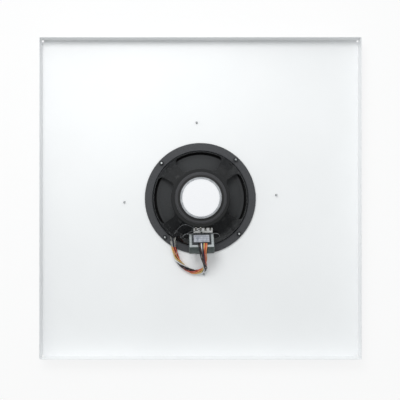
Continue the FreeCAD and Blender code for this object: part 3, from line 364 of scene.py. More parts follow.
def ferrite():
    """Pressed ferrite, with a painted shade ring round the back plate"""
    shade_reach, feather, uneven = 0.04075, 0.0010, 0.0012
    look = Look("ferrite", Specular_IOR_Level=0.4)
    grain = look.noise(1600.0, 3.0)
    tone = look.ramp(grain, (0.35, rgb(43, 43, 46)), (0.7, rgb(60, 60, 63)))
    spread = look.math("MULTIPLY", look.noise(180.0), uneven)
    reach = look.math("SUBTRACT", look.radius(), spread)
    shade_ring = look.fade(reach, 20.0, (shade_reach, 1.0), (shade_reach + feather, 0.0))
    # Painted shade: a dark ring on the magnet round the back plate.
    look.paint(look.mix(shade_ring, tone, rgb(11, 11, 12)))
    look.rough(look.ramp(look.noise(300.0), (0.3, 0.38), (0.7, 0.55)))
    look.bump(grain, 0.00004, 0.6)
    return look


def label_paper():
    """Plain white label stock with a faint grain and a printed hairline border"""
    border, line, edge = 0.03225, 0.0001, 0.0002
    look = Look("label_paper", Specular_IOR_Level=0.3)
    grain = look.ramp(look.noise(700.0, 4.0), (0.3, rgb(239, 239, 242)), (0.7, rgb(246, 246, 248)))
    stops = [(border - edge, 0.0), (border - line, 1.0), (border + line, 1.0), (border + edge, 0.0)]
    look.paint(look.mix(look.fade(look.radius(), 20.0, *stops), grain, rgb(205, 206, 210)))
    look.rough(look.ramp(look.noise(350.0), (0.3, 0.42), (0.7, 0.6)))
    look.bump(look.noise(60.0), 0.0003, 0.25)
    look.bump(look.noise(1500.0), 0.00002, 0.5)
    return look


def pulp(name, dark, light):
    """Felted paper pulp: short fibres lying both ways"""
    look = Look(name, Specular_IOR_Level=0.2)
    fibre = look.noise(1500.0, 4.0, look.spot((1.0, 0.25, 1.0)))
    across = look.noise(1500.0, 4.0, look.spot((0.25, 1.0, 1.0)))
    mat = look.mix(0.5, fibre, across)
    look.paint(look.ramp(mat, (0.35, dark), (0.65, light)))
    look.rough(look.ramp(mat, (0.3, 0.75), (0.7, 0.92)))
    look.bump(mat, 0.0001, 0.5)
    look.bump(look.noise(60.0), 0.0004, 0.2)
    return look


def cloth(name, dark, light, pitch, gloss, sheen):
    """Treated cotton: a fine plain weave under a resin"""
    look = Look(name, Specular_IOR_Level=gloss, Sheen_Weight=sheen)
    spot = look.spot()
    weave = look.math("MULTIPLY", look.waves(pitch, spot, "X", 1.0), look.waves(pitch, spot, "Y", 1.0))
    tone = look.ramp(look.noise(160.0, 3.0), (0.3, dark), (0.7, light))
    look.paint(look.mix(look.math("MULTIPLY", weave, 0.35), tone, dark))
    look.rough(look.ramp(weave, (0.0, 0.62), (1.0, 0.85)))
    look.bump(weave, 0.00008, 0.6)
    return look


def foam():
    """Dark open-celled foam"""
    look = Look("gasket_foam", Specular_IOR_Level=0.2)
    cells = look.add("TexVoronoi", {"Vector": look.spot(), "Scale": 1500.0}).outputs["Distance"]
    look.paint(look.ramp(cells, (0.0, rgb(30, 30, 31)), (0.6, rgb(64, 64, 65))))
    look.rough(look.ramp(cells, (0.0, 0.95), (0.6, 0.8)))
    look.bump(cells, 0.0002, 0.7)
    return look


def rubber(name, dark, light, roughness=(0.45, 0.65)):
    """Moulded rubber or soft plastic"""
    look = Look(name, Specular_IOR_Level=0.5)
    look.paint(look.ramp(look.noise(400.0, 3.0), (0.3, dark), (0.7, light)))
    low, high = roughness
    look.rough(look.ramp(look.noise(700.0), (0.3, low), (0.7, high)))
    look.bump(look.noise(1800.0), 0.00003, 0.5)
    return look


def lacquered_wire():
    """Close turns of lacquered copper"""
    look = Look("lacquered_copper", metallic=1.0)
    turns = look.waves(1400.0, look.spot(), "Z")
    look.paint(look.ramp(turns, (0.0, rgb(96, 48, 26)), (1.0, rgb(196, 112, 66))))
    look.rough(look.ramp(look.noise(500.0), (0.3, 0.25), (0.7, 0.4)))
    look.bump(turns, 0.00008, 0.8)
    return look


def laminations():
    """Stacked sheets: bright rolled faces, dark seams, painted shade inside the limbs next to the coil and
    a little rust
    """
    face, limb, crown = CORE_STACK / 2, 0.0187, 0.0276
    look = Look("laminations", metallic=0.4, Specular_IOR_Level=0.5)
    spot = look.pad_spot(CORE_SPOT)
    rolled = look.noise(500.0, 3.0, look.stretched(spot, (0.05, 1, 1)))
    tone = look.ramp(rolled, (0.3, rgb(196, 202, 204)), (0.7, rgb(222, 227, 228)))
    seam = look.ramp(look.waves(290.0, spot, "Y", 0.15), (0.0, 0.8), (0.25, 0.0))
    inside = look.fade(look.aside(spot, "Y"), 100.0, (face - 0.0002, 1.0), (face - 0.00005, 0.0))
    tone = look.mix(look.math("MULTIPLY", seam, inside), tone, rgb(58, 60, 60))
    # Painted shade: darker on the core's faces inside the outer limbs and below the crown, next to the
    # coil.
    limb_shade = look.fade(look.aside(spot, "X"), 20.0, (limb - 0.0008, 0.85), (limb, 0.0))
    below = look.fade(look.part(spot, "Z"), 20.0, (crown - 0.00085, 1.0), (crown, 0.0))
    tone = look.mix(look.math("MULTIPLY", limb_shade, below), tone, rgb(74, 80, 86))
    rust = look.ramp(look.noise(220.0, 4.0), (0.66, 0.0), (0.8, 0.35))
    look.paint(look.mix(rust, tone, rgb(128, 104, 84)))
    look.rough(look.ramp(rolled, (0.3, 0.34), (0.7, 0.5)))
    look.bump(rolled, 0.00003, 0.5)
    return look


def strap_steel():
    """Galvanised strip, dull with a green-grey cast"""
    look = Look("strap_steel", metallic=0.4, Specular_IOR_Level=0.4)
    cells = look.add("TexVoronoi", {"Vector": look.spot(), "Scale": 240.0}, feature="SMOOTH_F1")
    spangle = look.ramp(cells.outputs["Distance"], (0.1, rgb(82, 91, 90)), (0.8, rgb(104, 112, 110)))
    drawn = look.noise(1500.0, 2.0, look.stretched(look.pad_spot(CORE_SPOT), (0.06, 1.0, 1.0)))
    look.paint(look.mix(look.math("MULTIPLY", drawn, 0.4), spangle, rgb(72, 79, 78)))
    look.rough(look.ramp(look.noise(330.0, 3.0), (0.3, 0.36), (0.7, 0.52)))
    look.bump(drawn, 0.00002, 0.4)
    return look


def coil_tape():
    """Shiny blue-grey polyester tape, lapped and slightly creased"""
    look = Look("coil_tape", Specular_IOR_Level=0.6, Coat_Weight=0.3)
    spot = look.pad_spot(CORE_SPOT)
    laps = look.waves(58.0, spot, "Z", 0.6)
    crease = look.noise(260.0, 4.0, look.stretched(spot, (1, 1, 0.4)))
    tone = look.ramp(crease, (0.3, rgb(150, 154, 164)), (0.7, rgb(196, 199, 207)))
    look.paint(look.mix(look.ramp(laps, (0.0, 0.55), (0.2, 0.0)), tone, rgb(118, 122, 134)))
    look.rough(look.ramp(crease, (0.3, 0.22), (0.7, 0.38)))
    look.bump(laps, 0.00015, 0.5)
    look.bump(crease, 0.0004, 0.35)
    return look


def fibre_board():
    """Pale pressed-fibre board"""
    look = Look("fibre_board", Specular_IOR_Level=0.35)
    mat = look.noise(1300.0, 4.0)
    look.paint(look.ramp(mat, (0.3, rgb(236, 235, 234)), (0.7, rgb(248, 247, 246))))
    look.rough(look.ramp(mat, (0.3, 0.5), (0.7, 0.7)))
    look.bump(mat, 0.00005, 0.5)
    return look


def nylon():
    """Moulded dark grey nylon"""
    look = Look("bobbin_nylon", Specular_IOR_Level=0.45)
    look.paint(look.ramp(look.noise(200.0, 3.0), (0.3, rgb(48, 49, 52)), (0.7, rgb(62, 63, 66))))
    look.rough(look.ramp(look.noise(500.0), (0.3, 0.38), (0.7, 0.5)))
    look.bump(look.noise(900.0), 0.00003, 0.5)
    return look


def sleeve(name, color):
    """Extruded lead insulation: uneven in tone, with a little handling dirt"""
    look = Look(name, Specular_IOR_Level=0.5)
    dark = tuple(0.72 * c for c in color[:3]) + (1.0,)
    tone = look.mix(look.ramp(look.noise(90.0), (0.3, 0.0), (0.7, 1.0)), color, dark)
    dirt = look.ramp(look.noise(240.0, 4.0), (0.6, 0.0), (0.8, 0.45))
    look.paint(look.mix(dirt, tone, dark))
    look.rough(look.ramp(look.noise(520.0, 3.0), (0.3, 0.3), (0.7, 0.46)))
    look.bump(look.noise(1500.0), 0.00004, 0.5)
    return look


LOOKS = {
    "white_paint": powder_coat(),
    "grille_paint": grille_paint(),
    "black_paint": black_paint(),
    "zinc": plated("zinc_plate", rgb(214, 216, 216), rgb(160, 164, 166), (0.22, 0.4)),
    "black_zinc": plated("black_zinc", rgb(62, 63, 66), rgb(40, 41, 43), (0.3, 0.5)),
    "tin": plated("tinned", rgb(222, 220, 214), rgb(176, 174, 168), (0.16, 0.34), 500.0),
    # Painted shade: the solder lugs are painted dark.
    "lug": plated("lug_painted_shade", rgb(112, 108, 101), rgb(68, 66, 62), (0.2, 0.36), 500.0),
    "steel": turned_steel(),
    "ferrite": ferrite(),
    "label": label_paper(),
    "foam": foam(),
    "surround": cloth(
        "surround_cloth", rgb(10, 10, 11), rgb(18, 18, 19), pitch=1100.0, gloss=0.15, sheen=0.03
    ),
    "spider": cloth(
        "spider_cloth", rgb(150, 112, 58), rgb(186, 148, 88), pitch=800.0, gloss=0.3, sheen=0.15
    ),
    "cone": pulp("cone_pulp", rgb(54, 55, 57), rgb(67, 68, 69)),
    "cap": pulp("cap_felt", rgb(42, 42, 44), rgb(64, 64, 66)),
    "foil": plated("former_foil", rgb(212, 212, 212), rgb(170, 170, 172), (0.25, 0.4)),
    "copper": lacquered_wire(),
    "laminations": laminations(),
    "strap": strap_steel(),
    "tape": coil_tape(),
    "board": fibre_board(),
    "nylon": nylon(),
    "rubber": rubber("grommet_rubber", rgb(28, 28, 29), rgb(44, 44, 45)),
    # Painted highlight: the thin black leads are painted mid-grey.
    "thin_sleeve": rubber("thin_lead_sleeve", rgb(60, 61, 64), rgb(88, 89, 92), (0.16, 0.28)),
    "tinsel": plated("tinsel_braid", rgb(196, 168, 118), rgb(140, 112, 70), (0.25, 0.45), 900.0),
}

LEAD_TONES = {
    "orange": rgb(226, 142, 84), "red": rgb(204, 88, 68), "yellow": rgb(220, 188, 112),
    "brown": rgb(74, 48, 44), "black": rgb(27, 27, 31), "white": rgb(230, 230, 231),
    "blue": rgb(38, 41, 74),
}
for color, tone in LEAD_TONES.items():
    LOOKS[f"lead_{color}"] = sleeve(f"sleeve_{color}", tone)

NODE_LOOKS = {
    "tile_panel": "white_paint", "basket": "black_paint", "gasket": "foam", "cone": "cone",
    "dust_cap": "cap", "voice_coil_former": "foil", "voice_coil": "copper", "top_plate": "steel",
    "magnet": "ferrite", "yoke": "steel", "label": "label", "transformer_core": "laminations",
    "transformer_bobbin": "nylon", "transformer_winding": "copper", "terminal_board": "board",
    "board_rivet": "zinc", "lead_grommet_first": "rubber", "lead_grommet_second": "rubber",
}
for node, look in NODE_LOOKS.items():
    slots = nodes[node].data.materials
    slots.clear()
    slots.append(LOOKS[look].material)

# Points nearer than the weld become one, and only edges sharper than the crease are softened.
WELD, CREASE = 1e-7, math.radians(40)


def piece(name, shape, look, slot, bend=None, sharp=35.0, second=None, soften=None):
    """Mesh of vertices and faces, smooth up to an angle, attached to the tile unless bend is given"""
    verts, faces = shape
    mesh = bpy.data.meshes.new(name)
    mesh.from_pydata([tuple(v) for v in verts], [], faces)
    mesh.materials.append(LOOKS[look].material)
    work = bmesh.new()
    work.from_mesh(mesh)
    bmesh.ops.remove_doubles(work, verts=work.verts, dist=WELD)
    bmesh.ops.recalc_face_normals(work, faces=work.faces)
    if soften:
        edges = [e for e in work.edges if len(e.link_faces) == 2 and e.calc_face_angle() > CREASE]
        bmesh.ops.bevel(work, geom=edges, offset=soften, segments=2, affect="EDGES", profile=0.5)
    if second:
        other, covers = second
        mesh.materials.append(LOOKS[other].material)
        for face in work.faces:
            face.material_index = 1 if covers(face.calc_center_median()) else 0
    work.to_mesh(mesh)
    work.free()
    mesh.polygons.foreach_set("use_smooth", [True] * len(mesh.polygons))
    mesh.set_sharp_from_angle(angle=math.radians(sharp))
    obj = bpy.data.objects.new(name, mesh)
    scene.collection.objects.link(obj)
    if bend:
        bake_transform(obj)
    else:
        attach(obj, "tile")
    return obj


def dress(node, detail, shape, look, slot, **finish):
    """Piece that takes the place of a CAD node and is named after it"""
    obj = piece(f"{node}_{detail}", shape, look, slot, **finish)
    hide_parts(node)
    return obj


def arc(centre, radius, start, end, steps):
    """Points of an arc in a profile, angles in degrees"""
    spots = []
    for step in range(steps + 1):
        angle = math.radians(start + (end - start) * step / steps)
        spots.append((centre[0] + radius * math.cos(angle), centre[1] + radius * math.sin(angle)))
    return spots


def bands(rings, count, closed=False):
    """Quads between neighbouring rings of points, the last joined to the first if closed"""
    faces = []
    for ring in range(rings if closed else rings - 1):
        near, far = ring * count, (ring + 1) % rings * count
        for k in range(count):
            n = (k + 1) % count
            faces.append((near + k, near + n, far + n, far + k))
    return faces


def capped(rings, count):
    """Quads between rings of points, with a face over the first and the last"""
    ends = [tuple(range(count)), tuple(range((rings - 1) * count, rings * count))]
    return bands(rings, count) + ends


def lathe(profile, segments, start=0.0, sweep=FULL):
    """Vertices and faces of a closed profile in radius and height, turned about the Z axis"""
    whole = sweep == FULL
    rings = segments if whole else segments + 1
    verts = []
    for ring in range(rings):
        angle = start + sweep * ring / segments
        verts += [(r * math.cos(angle), r * math.sin(angle), z) for r, z in profile]
    count = len(profile)
    faces = bands(rings, count, closed=True) if whole else capped(rings, count)
    return verts, faces


def joined(*shapes):
    """Several shapes as one"""
    verts = []
    faces = []
    for more, added in shapes:
        first = len(verts)
        verts += more
        faces += [tuple(first + k for k in face) for face in added]
    return verts, faces


def tube(line, radius, sides):
    """Vertices and faces of a capped tube along points; radius gives it by point and angle"""
    ahead = (line[1] - line[0]).normalized()
    side = ahead.orthogonal().normalized()
    verts = []
    for i, spot in enumerate(line):
        new = (line[min(i + 1, len(line) - 1)] - line[max(i - 1, 0)]).normalized()
        side = ahead.rotation_difference(new) @ side
        ahead = new
        above = ahead.cross(side)
        for k in range(sides):
            angle = FULL * k / sides
            r = radius(i, angle)
            verts.append(spot + side * (r * math.cos(angle)) + above * (r * math.sin(angle)))
    return verts, capped(len(line), sides)


def spline_line(points, resolution=14):
    """Points along the smooth curve that has the route as its control points"""
    curve = bpy.data.curves.new("route", "CURVE")
    curve.dimensions = "3D"
    curve.resolution_u = resolution
    spline = curve.splines.new("NURBS")
    spline.points.add(len(points) - 1)
    for spot, point in zip(spline.points, points):
        spot.co = (*point, 1.0)
    spline.order_u = 3
    spline.use_endpoint_u = True
    holder = bpy.data.objects.new("route", curve)
    mesh = bpy.data.meshes.new_from_object(holder)
    line = [v.co.copy() for v in mesh.vertices]
    bpy.data.objects.remove(holder)
    bpy.data.curves.remove(curve)
    bpy.data.meshes.remove(mesh)
    return line


def run_lengths(line):
    """Length along the line up to each of its points"""
    runs = [0.0]
    for before, after in zip(line, line[1:]):
        runs.append(runs[-1] + (after - before).length)
    return runs


# Radius of a lead's sleeve and bare strands, of a thin lead and of a braid.
SLEEVE, WIRE, THIN, BRAID = 0.0011, 0.00066, 0.0006, 0.00044
# Stripped length, step down from the sleeve, and the room that its end has among the line's points.
STRIPPED, STEP, ROOM = 0.0105, 0.00002, 0.0002
# The strands narrow to a share of their radius over the last stretch.
TIP, TIP_SHARE = 0.0004, 0.6
STRAND_DEPTH = 0.00006


def twisted(radius, run, angle, count, twist):
    """Radius of twisted strands at a length along them and an angle about them"""
    return radius + STRAND_DEPTH * math.cos(count * angle - twist * run)


def lead(name):
    """Insulated lead with a stripped and tinned end of twisted strands"""
    line = spline_line(ROUTES[name])
    runs = run_lengths(line)
    cut = runs[-1] - STRIPPED
    last = max(i for i, run in enumerate(runs) if run < cut)
    ahead = (line[last + 1] - line[last]).normalized()
    end = line[last] + ahead * (cut - runs[last])
    stops = [(run, spot) for run, spot in zip(runs, line) if abs(run - cut) > ROOM]
    stops += [(cut, end), (cut + STEP, end + ahead * STEP)]
    stops.sort(key=lambda stop: stop[0])

    def radius(i, angle):
        run = stops[i][0]
        if run <= cut:
            return SLEEVE
        left = min(1.0, (runs[-1] - run) / TIP)
        strands = twisted(WIRE, run, angle, count=6, twist=1200.0)
        return strands * (TIP_SHARE + (1 - TIP_SHARE) * left)

    def bare(spot):
        return (spot - end).dot(ahead) > 0.8 * STEP and (spot - end).length < 2 * STRIPPED

    shape = tube([spot for _, spot in stops], radius, sides=18)
    obj = dress(name, "sleeved", shape, name, name, second=("tin", bare))


def thin_lead(name):
    """Lead from the terminal board to its grommet"""
    line = spline_line(ROUTES[name])
    shape = tube(line, lambda i, angle: THIN, sides=14)
    obj = dress(name, "sleeved", shape, "thin_sleeve", "thin_lead_sleeve")


def cone_braid(name):
    """Twisted tinsel between a grommet and the cone"""
    line = spline_line(ROUTES[name], resolution=24)
    runs = run_lengths(line)

    def radius(i, angle):
        return twisted(BRAID, runs[i], angle, count=5, twist=1600.0)

    shape = tube(line, radius, sides=20)
    dress(name, "twisted", shape, "tinsel", "braid_tinsel", bend=(line[0], line[-1]))


for color in LEAD_TONES:
    lead(f"lead_{color}")
for make, start in ((thin_lead, "speaker_lead"), (cone_braid, "cone_braid")):
    for which in ("first", "second"):
        make(f"{start}_{which}")


def flexing_ring(name, profile, slot, start, end, wedges=16):
    """Ring in wedges, each a piece of its own, left unattached to the tile"""
    sweep = FULL / wedges
    for wedge in range(wedges):
        angle = sweep * wedge
        out = Vector((math.cos(angle), math.sin(angle), 0.0))
        shape = lathe(profile, segments=8, start=angle - sweep / 2, sweep=sweep)
        dress(name, f"{wedge:02d}", shape, name, slot, bend=(out * start, out * end))


def surround_profile():
    """Cloth edge: clamped flange, half roll towards the grille and the lip under the cone"""
    low, high = 0.0108, 0.0113
    clamped, lip = 0.1045, 0.0785
    middle, inner, outer = 0.08665, 0.00295, 0.00345
    profile = [(clamped, low), (clamped, high)] + arc((middle, high), inner, 0, -180, 14)
    return profile + [(lip, high), (lip, low)] + arc((middle, low), outer, 180, 360, 14)


def spider_profile():
    """Corrugated disc about the former: waves between its glued edges"""
    low, high = 0.0496, 0.0500
    inner, outer = 0.0133, 0.0520
    first, width, waves, depth = 0.0170, 0.0280, 4, 0.00055
    steps = 64
    line = []
    for step in range(steps + 1):
        line.append((first + width * step / steps, depth * math.sin(FULL * waves * step / steps)))
    profile = [(inner, low)] + [(r, low - wave) for r, wave in line] + [(outer, low), (outer, high)]
    return profile + [(r, high - wave) for r, wave in line[::-1]] + [(inner, high)]


flexing_ring("surround", surround_profile(), "surround_cloth", start=0.0896, end=0.0834)
flexing_ring("spider", spider_profile(), "spider_cloth", start=0.0450, end=0.0150)

# Neighbour of a hexagon cell across each of its sides, in steps along the two rows of cells.
ACROSS = [(0, 1), (-1, 1), (-1, 0), (0, -1), (1, -1), (1, 0)]


def perforated_sheet(field, pitch, hole, low, high):
    """Sheet of hexagon cells, each with a round hole; those beyond the field are solid"""
    corners = arc((0.0, 0.0), pitch / math.sqrt(3), 30, 330, 5)
    rim = arc((0.0, 0.0), hole, 30, 360, 11)
    row = pitch * math.sqrt(3) / 2
    rows = math.ceil((field + pitch) / row)
    columns = math.ceil((field + pitch) / pitch + rows / 2)
    cells = {}
    for r in range(-rows, rows + 1):
        for q in range(-columns, columns + 1):
            x, y = pitch * (q + r / 2), row * r
            if math.hypot(x, y) < field + pitch:
                cells[q, r] = (x, y)
    verts = []
    faces = []
    # A cell has six corners below and six above, then twelve points of its hole below and above.
    for (q, r), (x, y) in cells.items():
        first = len(verts)
        for z in (low, high):
            verts += [(x + cx, y + cy, z) for cx, cy in corners]
        for k, (dq, dr) in enumerate(ACROSS):
            n = (k + 1) % 6
            if (q + dq, r + dr) not in cells:
                faces.append((first + k, first + n, first + 6 + n, first + 6 + k))
        if math.hypot(x, y) > field:
            faces += [tuple(range(first, first + 6)), tuple(range(first + 6, first + 12))]
            continue
        for z in (low, high):
            verts += [(x + hx, y + hy, z) for hx, hy in rim]
        for face, edge in ((first, first + 12), (first + 6, first + 24)):
            for k in range(6):
                n = (k + 1) % 6
                faces.append((face + n, face + k, edge + 2 * k, edge + 2 * k + 1, edge + 2 * n))
        faces += [tuple(first + 12 + k for k in quad) for quad in bands(2, 12)]
    return verts, faces


def grille_border(inner):
    """Profile from the perforated field over the draw and the land to the turned-up brim"""
    sheet, land, brim, edge = 0.0008, 0.0040, 0.0085, 0.1635
    draw_start, draw_end, land_end = 0.1092, 0.1226, 0.1500
    foot_bend, land_bend = 0.0016, 0.0014
    border = [(inner, 0.0)] + arc((draw_start, foot_bend), foot_bend, -90, -72, 3)
    border += [(draw_end - 0.0014, 0.00365)]
    border += arc((draw_end, land - land_bend), land_bend, 108, 90, 3)
    border += [(land_end, land), (edge - 0.0005, 0.0075), (edge, 0.0079), (edge, brim)]
    border += [(edge - 0.0020, brim), (land_end + 0.0003, land + sheet)]
    return border + [(draw_end - sheet, land + sheet), (draw_start + 0.0006, sheet), (inner, sheet)]


def perforated_grille():
    """Drawn steel disc: a fine perforated sheet, closed at its edge by a border"""
    field, solid = 0.1040, 0.0019
    sheet = perforated_sheet(field, pitch=0.0037, hole=0.00115, low=0.00002, high=0.00078)
    verts, faces = joined(sheet, lathe(grille_border(field + solid), segments=160))
    turned = Matrix.Rotation(TURN, 3, "Z")
    return [turned @ Vector(v) for v in verts], faces


dress("front_grille", "perforated", perforated_grille(), "grille_paint", "grille_paint", sharp=40.0)


def threaded(low, high, radius, pitch, depth, taper, tip, segments=28):
    """Shank with a helical thread, its last stretch tapering to a tip radius"""
    rows_in_turn, flank = 8, 1.4
    steps = int((high - low) / pitch * rows_in_turn)
    verts = []
    for step in range(steps + 1):
        z = low + (high - low) * step / steps
        left = min(1.0, (high - z) / taper)
        for k in range(segments):
            turn = (z / pitch - k / segments) % 1.0
            cut = depth * (abs(turn - 0.5) * 2) ** flank
            r = tip + (radius - cut - tip) * left
            angle = FULL * k / segments
            verts.append((r * math.cos(angle), r * math.sin(angle), z))
    return verts, capped(steps + 1, segments)


def clamp(share):
    return max(0.0, min(1.0, share))


def cross_head(seat, radius, height, recess, segments=72):
    """Pan head below its seat, with a cross recess in its face"""
    # Shares of the head's radius: half a wing and its slope, the wings' reach and its run-out.
    wing, slope, reach, run_out = 0.13, 0.04, 0.6, 0.12
    bulge = 0.86
    shares = [0.0, 0.08, 0.16, 0.24, 0.32, 0.4, 0.48, 0.56, 0.66, 0.78, 0.88, 0.95, 1.0]
    domes = [height * math.sqrt(1 - (bulge * share) ** 2) for share in shares]
    verts = []
    for share, dome in [*zip(shares, domes), (1.0, 0.0)]:
        for k in range(segments):
            angle = FULL * k / segments
            r = radius * share
            x, y = r * math.cos(angle), r * math.sin(angle)
            aside = min(abs(x), abs(y)) / radius
            deep = clamp((wing - aside) / slope) * clamp((reach - share) / run_out)
            verts.append((x, y, seat - dome + recess * deep))
    return verts, capped(len(shares) + 1, segments)


def hex_nut(low, high, across, bore, chamfer=0.0004, sink=0.0005):
    """Hexagon nut with chamfered corners and a countersunk bore"""
    angles = [math.radians(10 * k) for k in range(36)]
    half_side = math.radians(30)
    corner = across / 2 / math.cos(half_side)
    verts = []
    for z, share in ((low, 0.9), (low + chamfer, 1.0), (high - chamfer, 1.0), (high, 0.9)):
        for angle in angles:
            flat = across / 2 / math.cos((angle + half_side) % math.radians(60) - half_side)
            r = min(flat, corner * share)
            verts.append((r * math.cos(angle), r * math.sin(angle), z))
    for z, r in ((high, bore + chamfer), (high - sink, bore), (low, bore)):
        verts += [(r * math.cos(angle), r * math.sin(angle), z) for angle in angles]
    return verts, bands(len(verts) // len(angles), len(angles), closed=True)


def ring_of(part, circle, start, count=4):
    """Copies of a part on a circle about the driver's axis, each turned a little differently"""
    spin_start, spin_step = 0.7, 1.1
    verts, faces = part
    copies = []
    for step in range(count):
        angle = start + FULL * step / count
        spin = Matrix.Rotation(spin_start + spin_step * step, 3, "Z")
        shift = Vector((circle * math.cos(angle), circle * math.sin(angle), 0.0))
        copies.append(([spin @ Vector(v) + shift for v in verts], faces))
    return joined(*copies)


screw = joined(
    cross_head(seat=0.0040, radius=0.0042, height=0.0022, recess=0.0013),
    threaded(low=0.0036, high=0.0163, radius=0.0020, pitch=0.0014, depth=0.00045, taper=0.0042, tip=0.0003),
)
bolt = joined(
    cross_head(seat=0.0085, radius=0.0040, height=0.0022, recess=0.0012),
    threaded(low=0.0081, high=0.0185, radius=0.0020, pitch=0.0007, depth=0.0003, taper=0.0007, tip=0.0013),
)
nut = hex_nut(low=RIM_TOP, high=0.0155, across=0.0080, bore=0.0021)
BOLT_START = TURN + math.pi / 4
dress("grille_screws", "threaded", ring_of(screw, SCREW_CIRCLE, TURN), "zinc", "zinc")
dress("driver_bolts", "threaded", ring_of(bolt, BOLT_CIRCLE, BOLT_START), "zinc", "zinc")
dress("driver_nuts", "chamfered", ring_of(nut, BOLT_CIRCLE, BOLT_START), "black_zinc", "zinc")


def on_pad(shape, shift=0.0):
    """Shape moved out of the transformer's frame, after a shift along the pad's Y"""
    verts, faces = shape
    return [PAD @ Vector((x, y + shift, z)) for x, y, z in verts], faces


def prism(outline, low, high):
    """Solid of an outline in the pad's X and Z, between two places along its Y"""
    verts = [(x, y, z) for y in (low, high) for x, z in outline]
    return verts, capped(2, len(outline))


def slab(outline, low, high):
    """Solid of an outline in the pad's X and Y, between two heights"""
    verts = [(x, y, z) for z in (low, high) for x, y in outline]
    return verts, capped(2, len(outline))


def bent_strap():
    """Strap over the core, bent from strip, with its tabs folded behind the pad"""
    half, top, sheet, bend = 0.0232, 0.0340, 0.0010, 0.0022
    half_width, half_tab = 0.0083, 0.0028
    behind, fold = -0.0012, 0.0162
    inner = half - sheet
    right, left = (half - bend, top - bend), (bend - half, top - bend)
    bow = [(half, 0.0)] + arc(right, bend, 0, 90, 6) + arc(left, bend, 90, 180, 6)
    bow += [(-half, 0.0), (-inner, 0.0)] + arc(left, bend - sheet, 180, 90, 5)
    bow += arc(right, bend - sheet, 90, 0, 5) + [(inner, 0.0)]
    tab = [(half, 0.0), (inner, 0.0), (inner, behind), (fold, behind)]
    tab += [(fold, behind - sheet), (half, behind - sheet)]
    tabs = [prism([(side * x, z) for x, z in tab], -half_tab, half_tab) for side in (1, -1)]
    return joined(prism(bow, -half_width, half_width), *tabs)


dress("transformer_strap", "bent", on_pad(bent_strap(), CORE_SHIFT), "strap", "zinc", soften=0.00018)


def rounded_box(half_x, half_y, corner, steps=6):
    """Outline of a box with round corners"""
    outline = []
    for x, y, start in ((1, 1, 0), (-1, 1, 90), (-1, -1, 180), (1, -1, 270)):
        outline += arc((x * (half_x - corner), y * (half_y - corner)), corner, start, start + 90, steps)
    return outline


def taped_coil():
    """Shell of wound tape: crowned sides, rounded corners, a step at each lap and the tape's end"""
    half_x, half_y, corner, wall = 0.01465, 0.0130, 0.0010, 0.0004
    low, high, rows = 0.00675, 0.02625, 36
    crown, lap, laps = 0.00016, 0.00014, 3.4
    loops = []
    for row in range(rows + 1):
        share = row / rows
        z = low + (high - low) * share
        inset = crown * (abs(share - 0.5) * 2) ** 3 + lap * ((share * laps) % 1.0)
        loops.append([(x, y, z) for x, y in rounded_box(half_x - inset, half_y - inset, corner)])
    for z in (high, low):
        loops.append([(x, y, z) for x, y in rounded_box(half_x - wall, half_y - wall, corner - wall)])
    shell = (sum(loops, []), bands(len(loops), len(loops[0]), closed=True))
    start, end, under, over = -0.0065, 0.0042, 0.0128, 0.0131
    flap = [(start, under), (end, under), (end + over - under, over), (start, over)]
    return joined(shell, slab(flap, low=0.0085, high=0.0236))


dress("coil_wrap", "taped", on_pad(taped_coil(), CORE_SHIFT), "tape", "wrap_tape", sharp=50.0)

# Places of the lugs along the terminal board, and of what is in line along each lug.
BOARD_SHIFT, LUG_PITCH = 0.0032, 0.0090
LUGS = [BOARD_SHIFT + LUG_PITCH * (k - 1.5) for k in range(4)]
EYELET_ROW, SOLDER_ROW, END_ROW, EYE_ROW = 0.0177, 0.0232, 0.0235, 0.0236


def pierced_lug(place):
    """Solder lug: square foot, narrow waist and a round end with an eye"""
    half, waist, end, eye = 0.0020, 0.0017, 0.0020, 0.0012
    foot, shoulder, neck, throat = 0.0157, 0.0198, 0.0205, 0.0216
    middle = Vector((place, EYE_ROW))
    low, high = 0.0008, 0.0013
    outline = [(place - half, foot), (place + half, foot), (place + half, shoulder)]
    outline += [(place + waist, neck), (place + waist, throat)]
    outline += arc((place, END_ROW), end, -40, 220, 12)
    outline += [(place - waist, throat), (place - waist, neck), (place - half, shoulder)]
    rim = [tuple(middle + (Vector(spot) - middle).normalized() * eye) for spot in outline]
    loops = ((outline, low), (outline, high), (rim, high), (rim, low))
    verts = [(x, y, z) for loop, z in loops for x, y in loop]
    return verts, bands(len(loops), len(outline), closed=True)


def rolled_eyelet(place):
    """Eyelet through a lug and the board, its rim rolled over the lug"""
    bore, barrel, flange, roll = 0.0013, 0.0015, 0.00195, 0.0003
    low, seat, top = -0.0004, 0.0013, 0.0014
    profile = [(bore, low)] + arc((bore + roll, top), roll, 180, 60, 4)
    profile += [(flange, top), (flange, seat), (barrel, seat - 0.0001), (barrel, low)]
    verts, faces = lathe(profile, segments=28)
    return [(x + place, y + EYELET_ROW, z) for x, y, z in verts], faces


def solder(place, seed):
    """Flowed solder over a lug's eye"""
    radius, base, height = 0.0019, 0.0012, 0.0012
    rows, sides = 9, 24
    verts = []
    for row in range(rows + 1):
        share = row / rows
        z = base + height * (1 - share ** 2) ** 1.3
        for k in range(sides):
            angle = FULL * k / sides
            wobble = 1 + 0.08 * math.sin(2 * angle + seed) + 0.05 * math.sin(3 * angle + 2 * seed)
            r = radius * wobble * share
            verts.append((place + r * math.cos(angle), SOLDER_ROW + r * math.sin(angle), z))
    return verts, capped(rows + 1, sides)


lugs = on_pad(joined(*[pierced_lug(place) for place in LUGS]))
dress("terminal_lugs", "pierced", lugs, "lug", "tinned", soften=0.00008)
eyelets = on_pad(joined(*[rolled_eyelet(place) for place in LUGS]))
dress("lug_eyelets", "rolled", eyelets, "tin", "tinned")
piece("lug_solder", on_pad(joined(solder(LUGS[0], 0.4), solder(LUGS[1], 1.9))), "tin", "tinned")


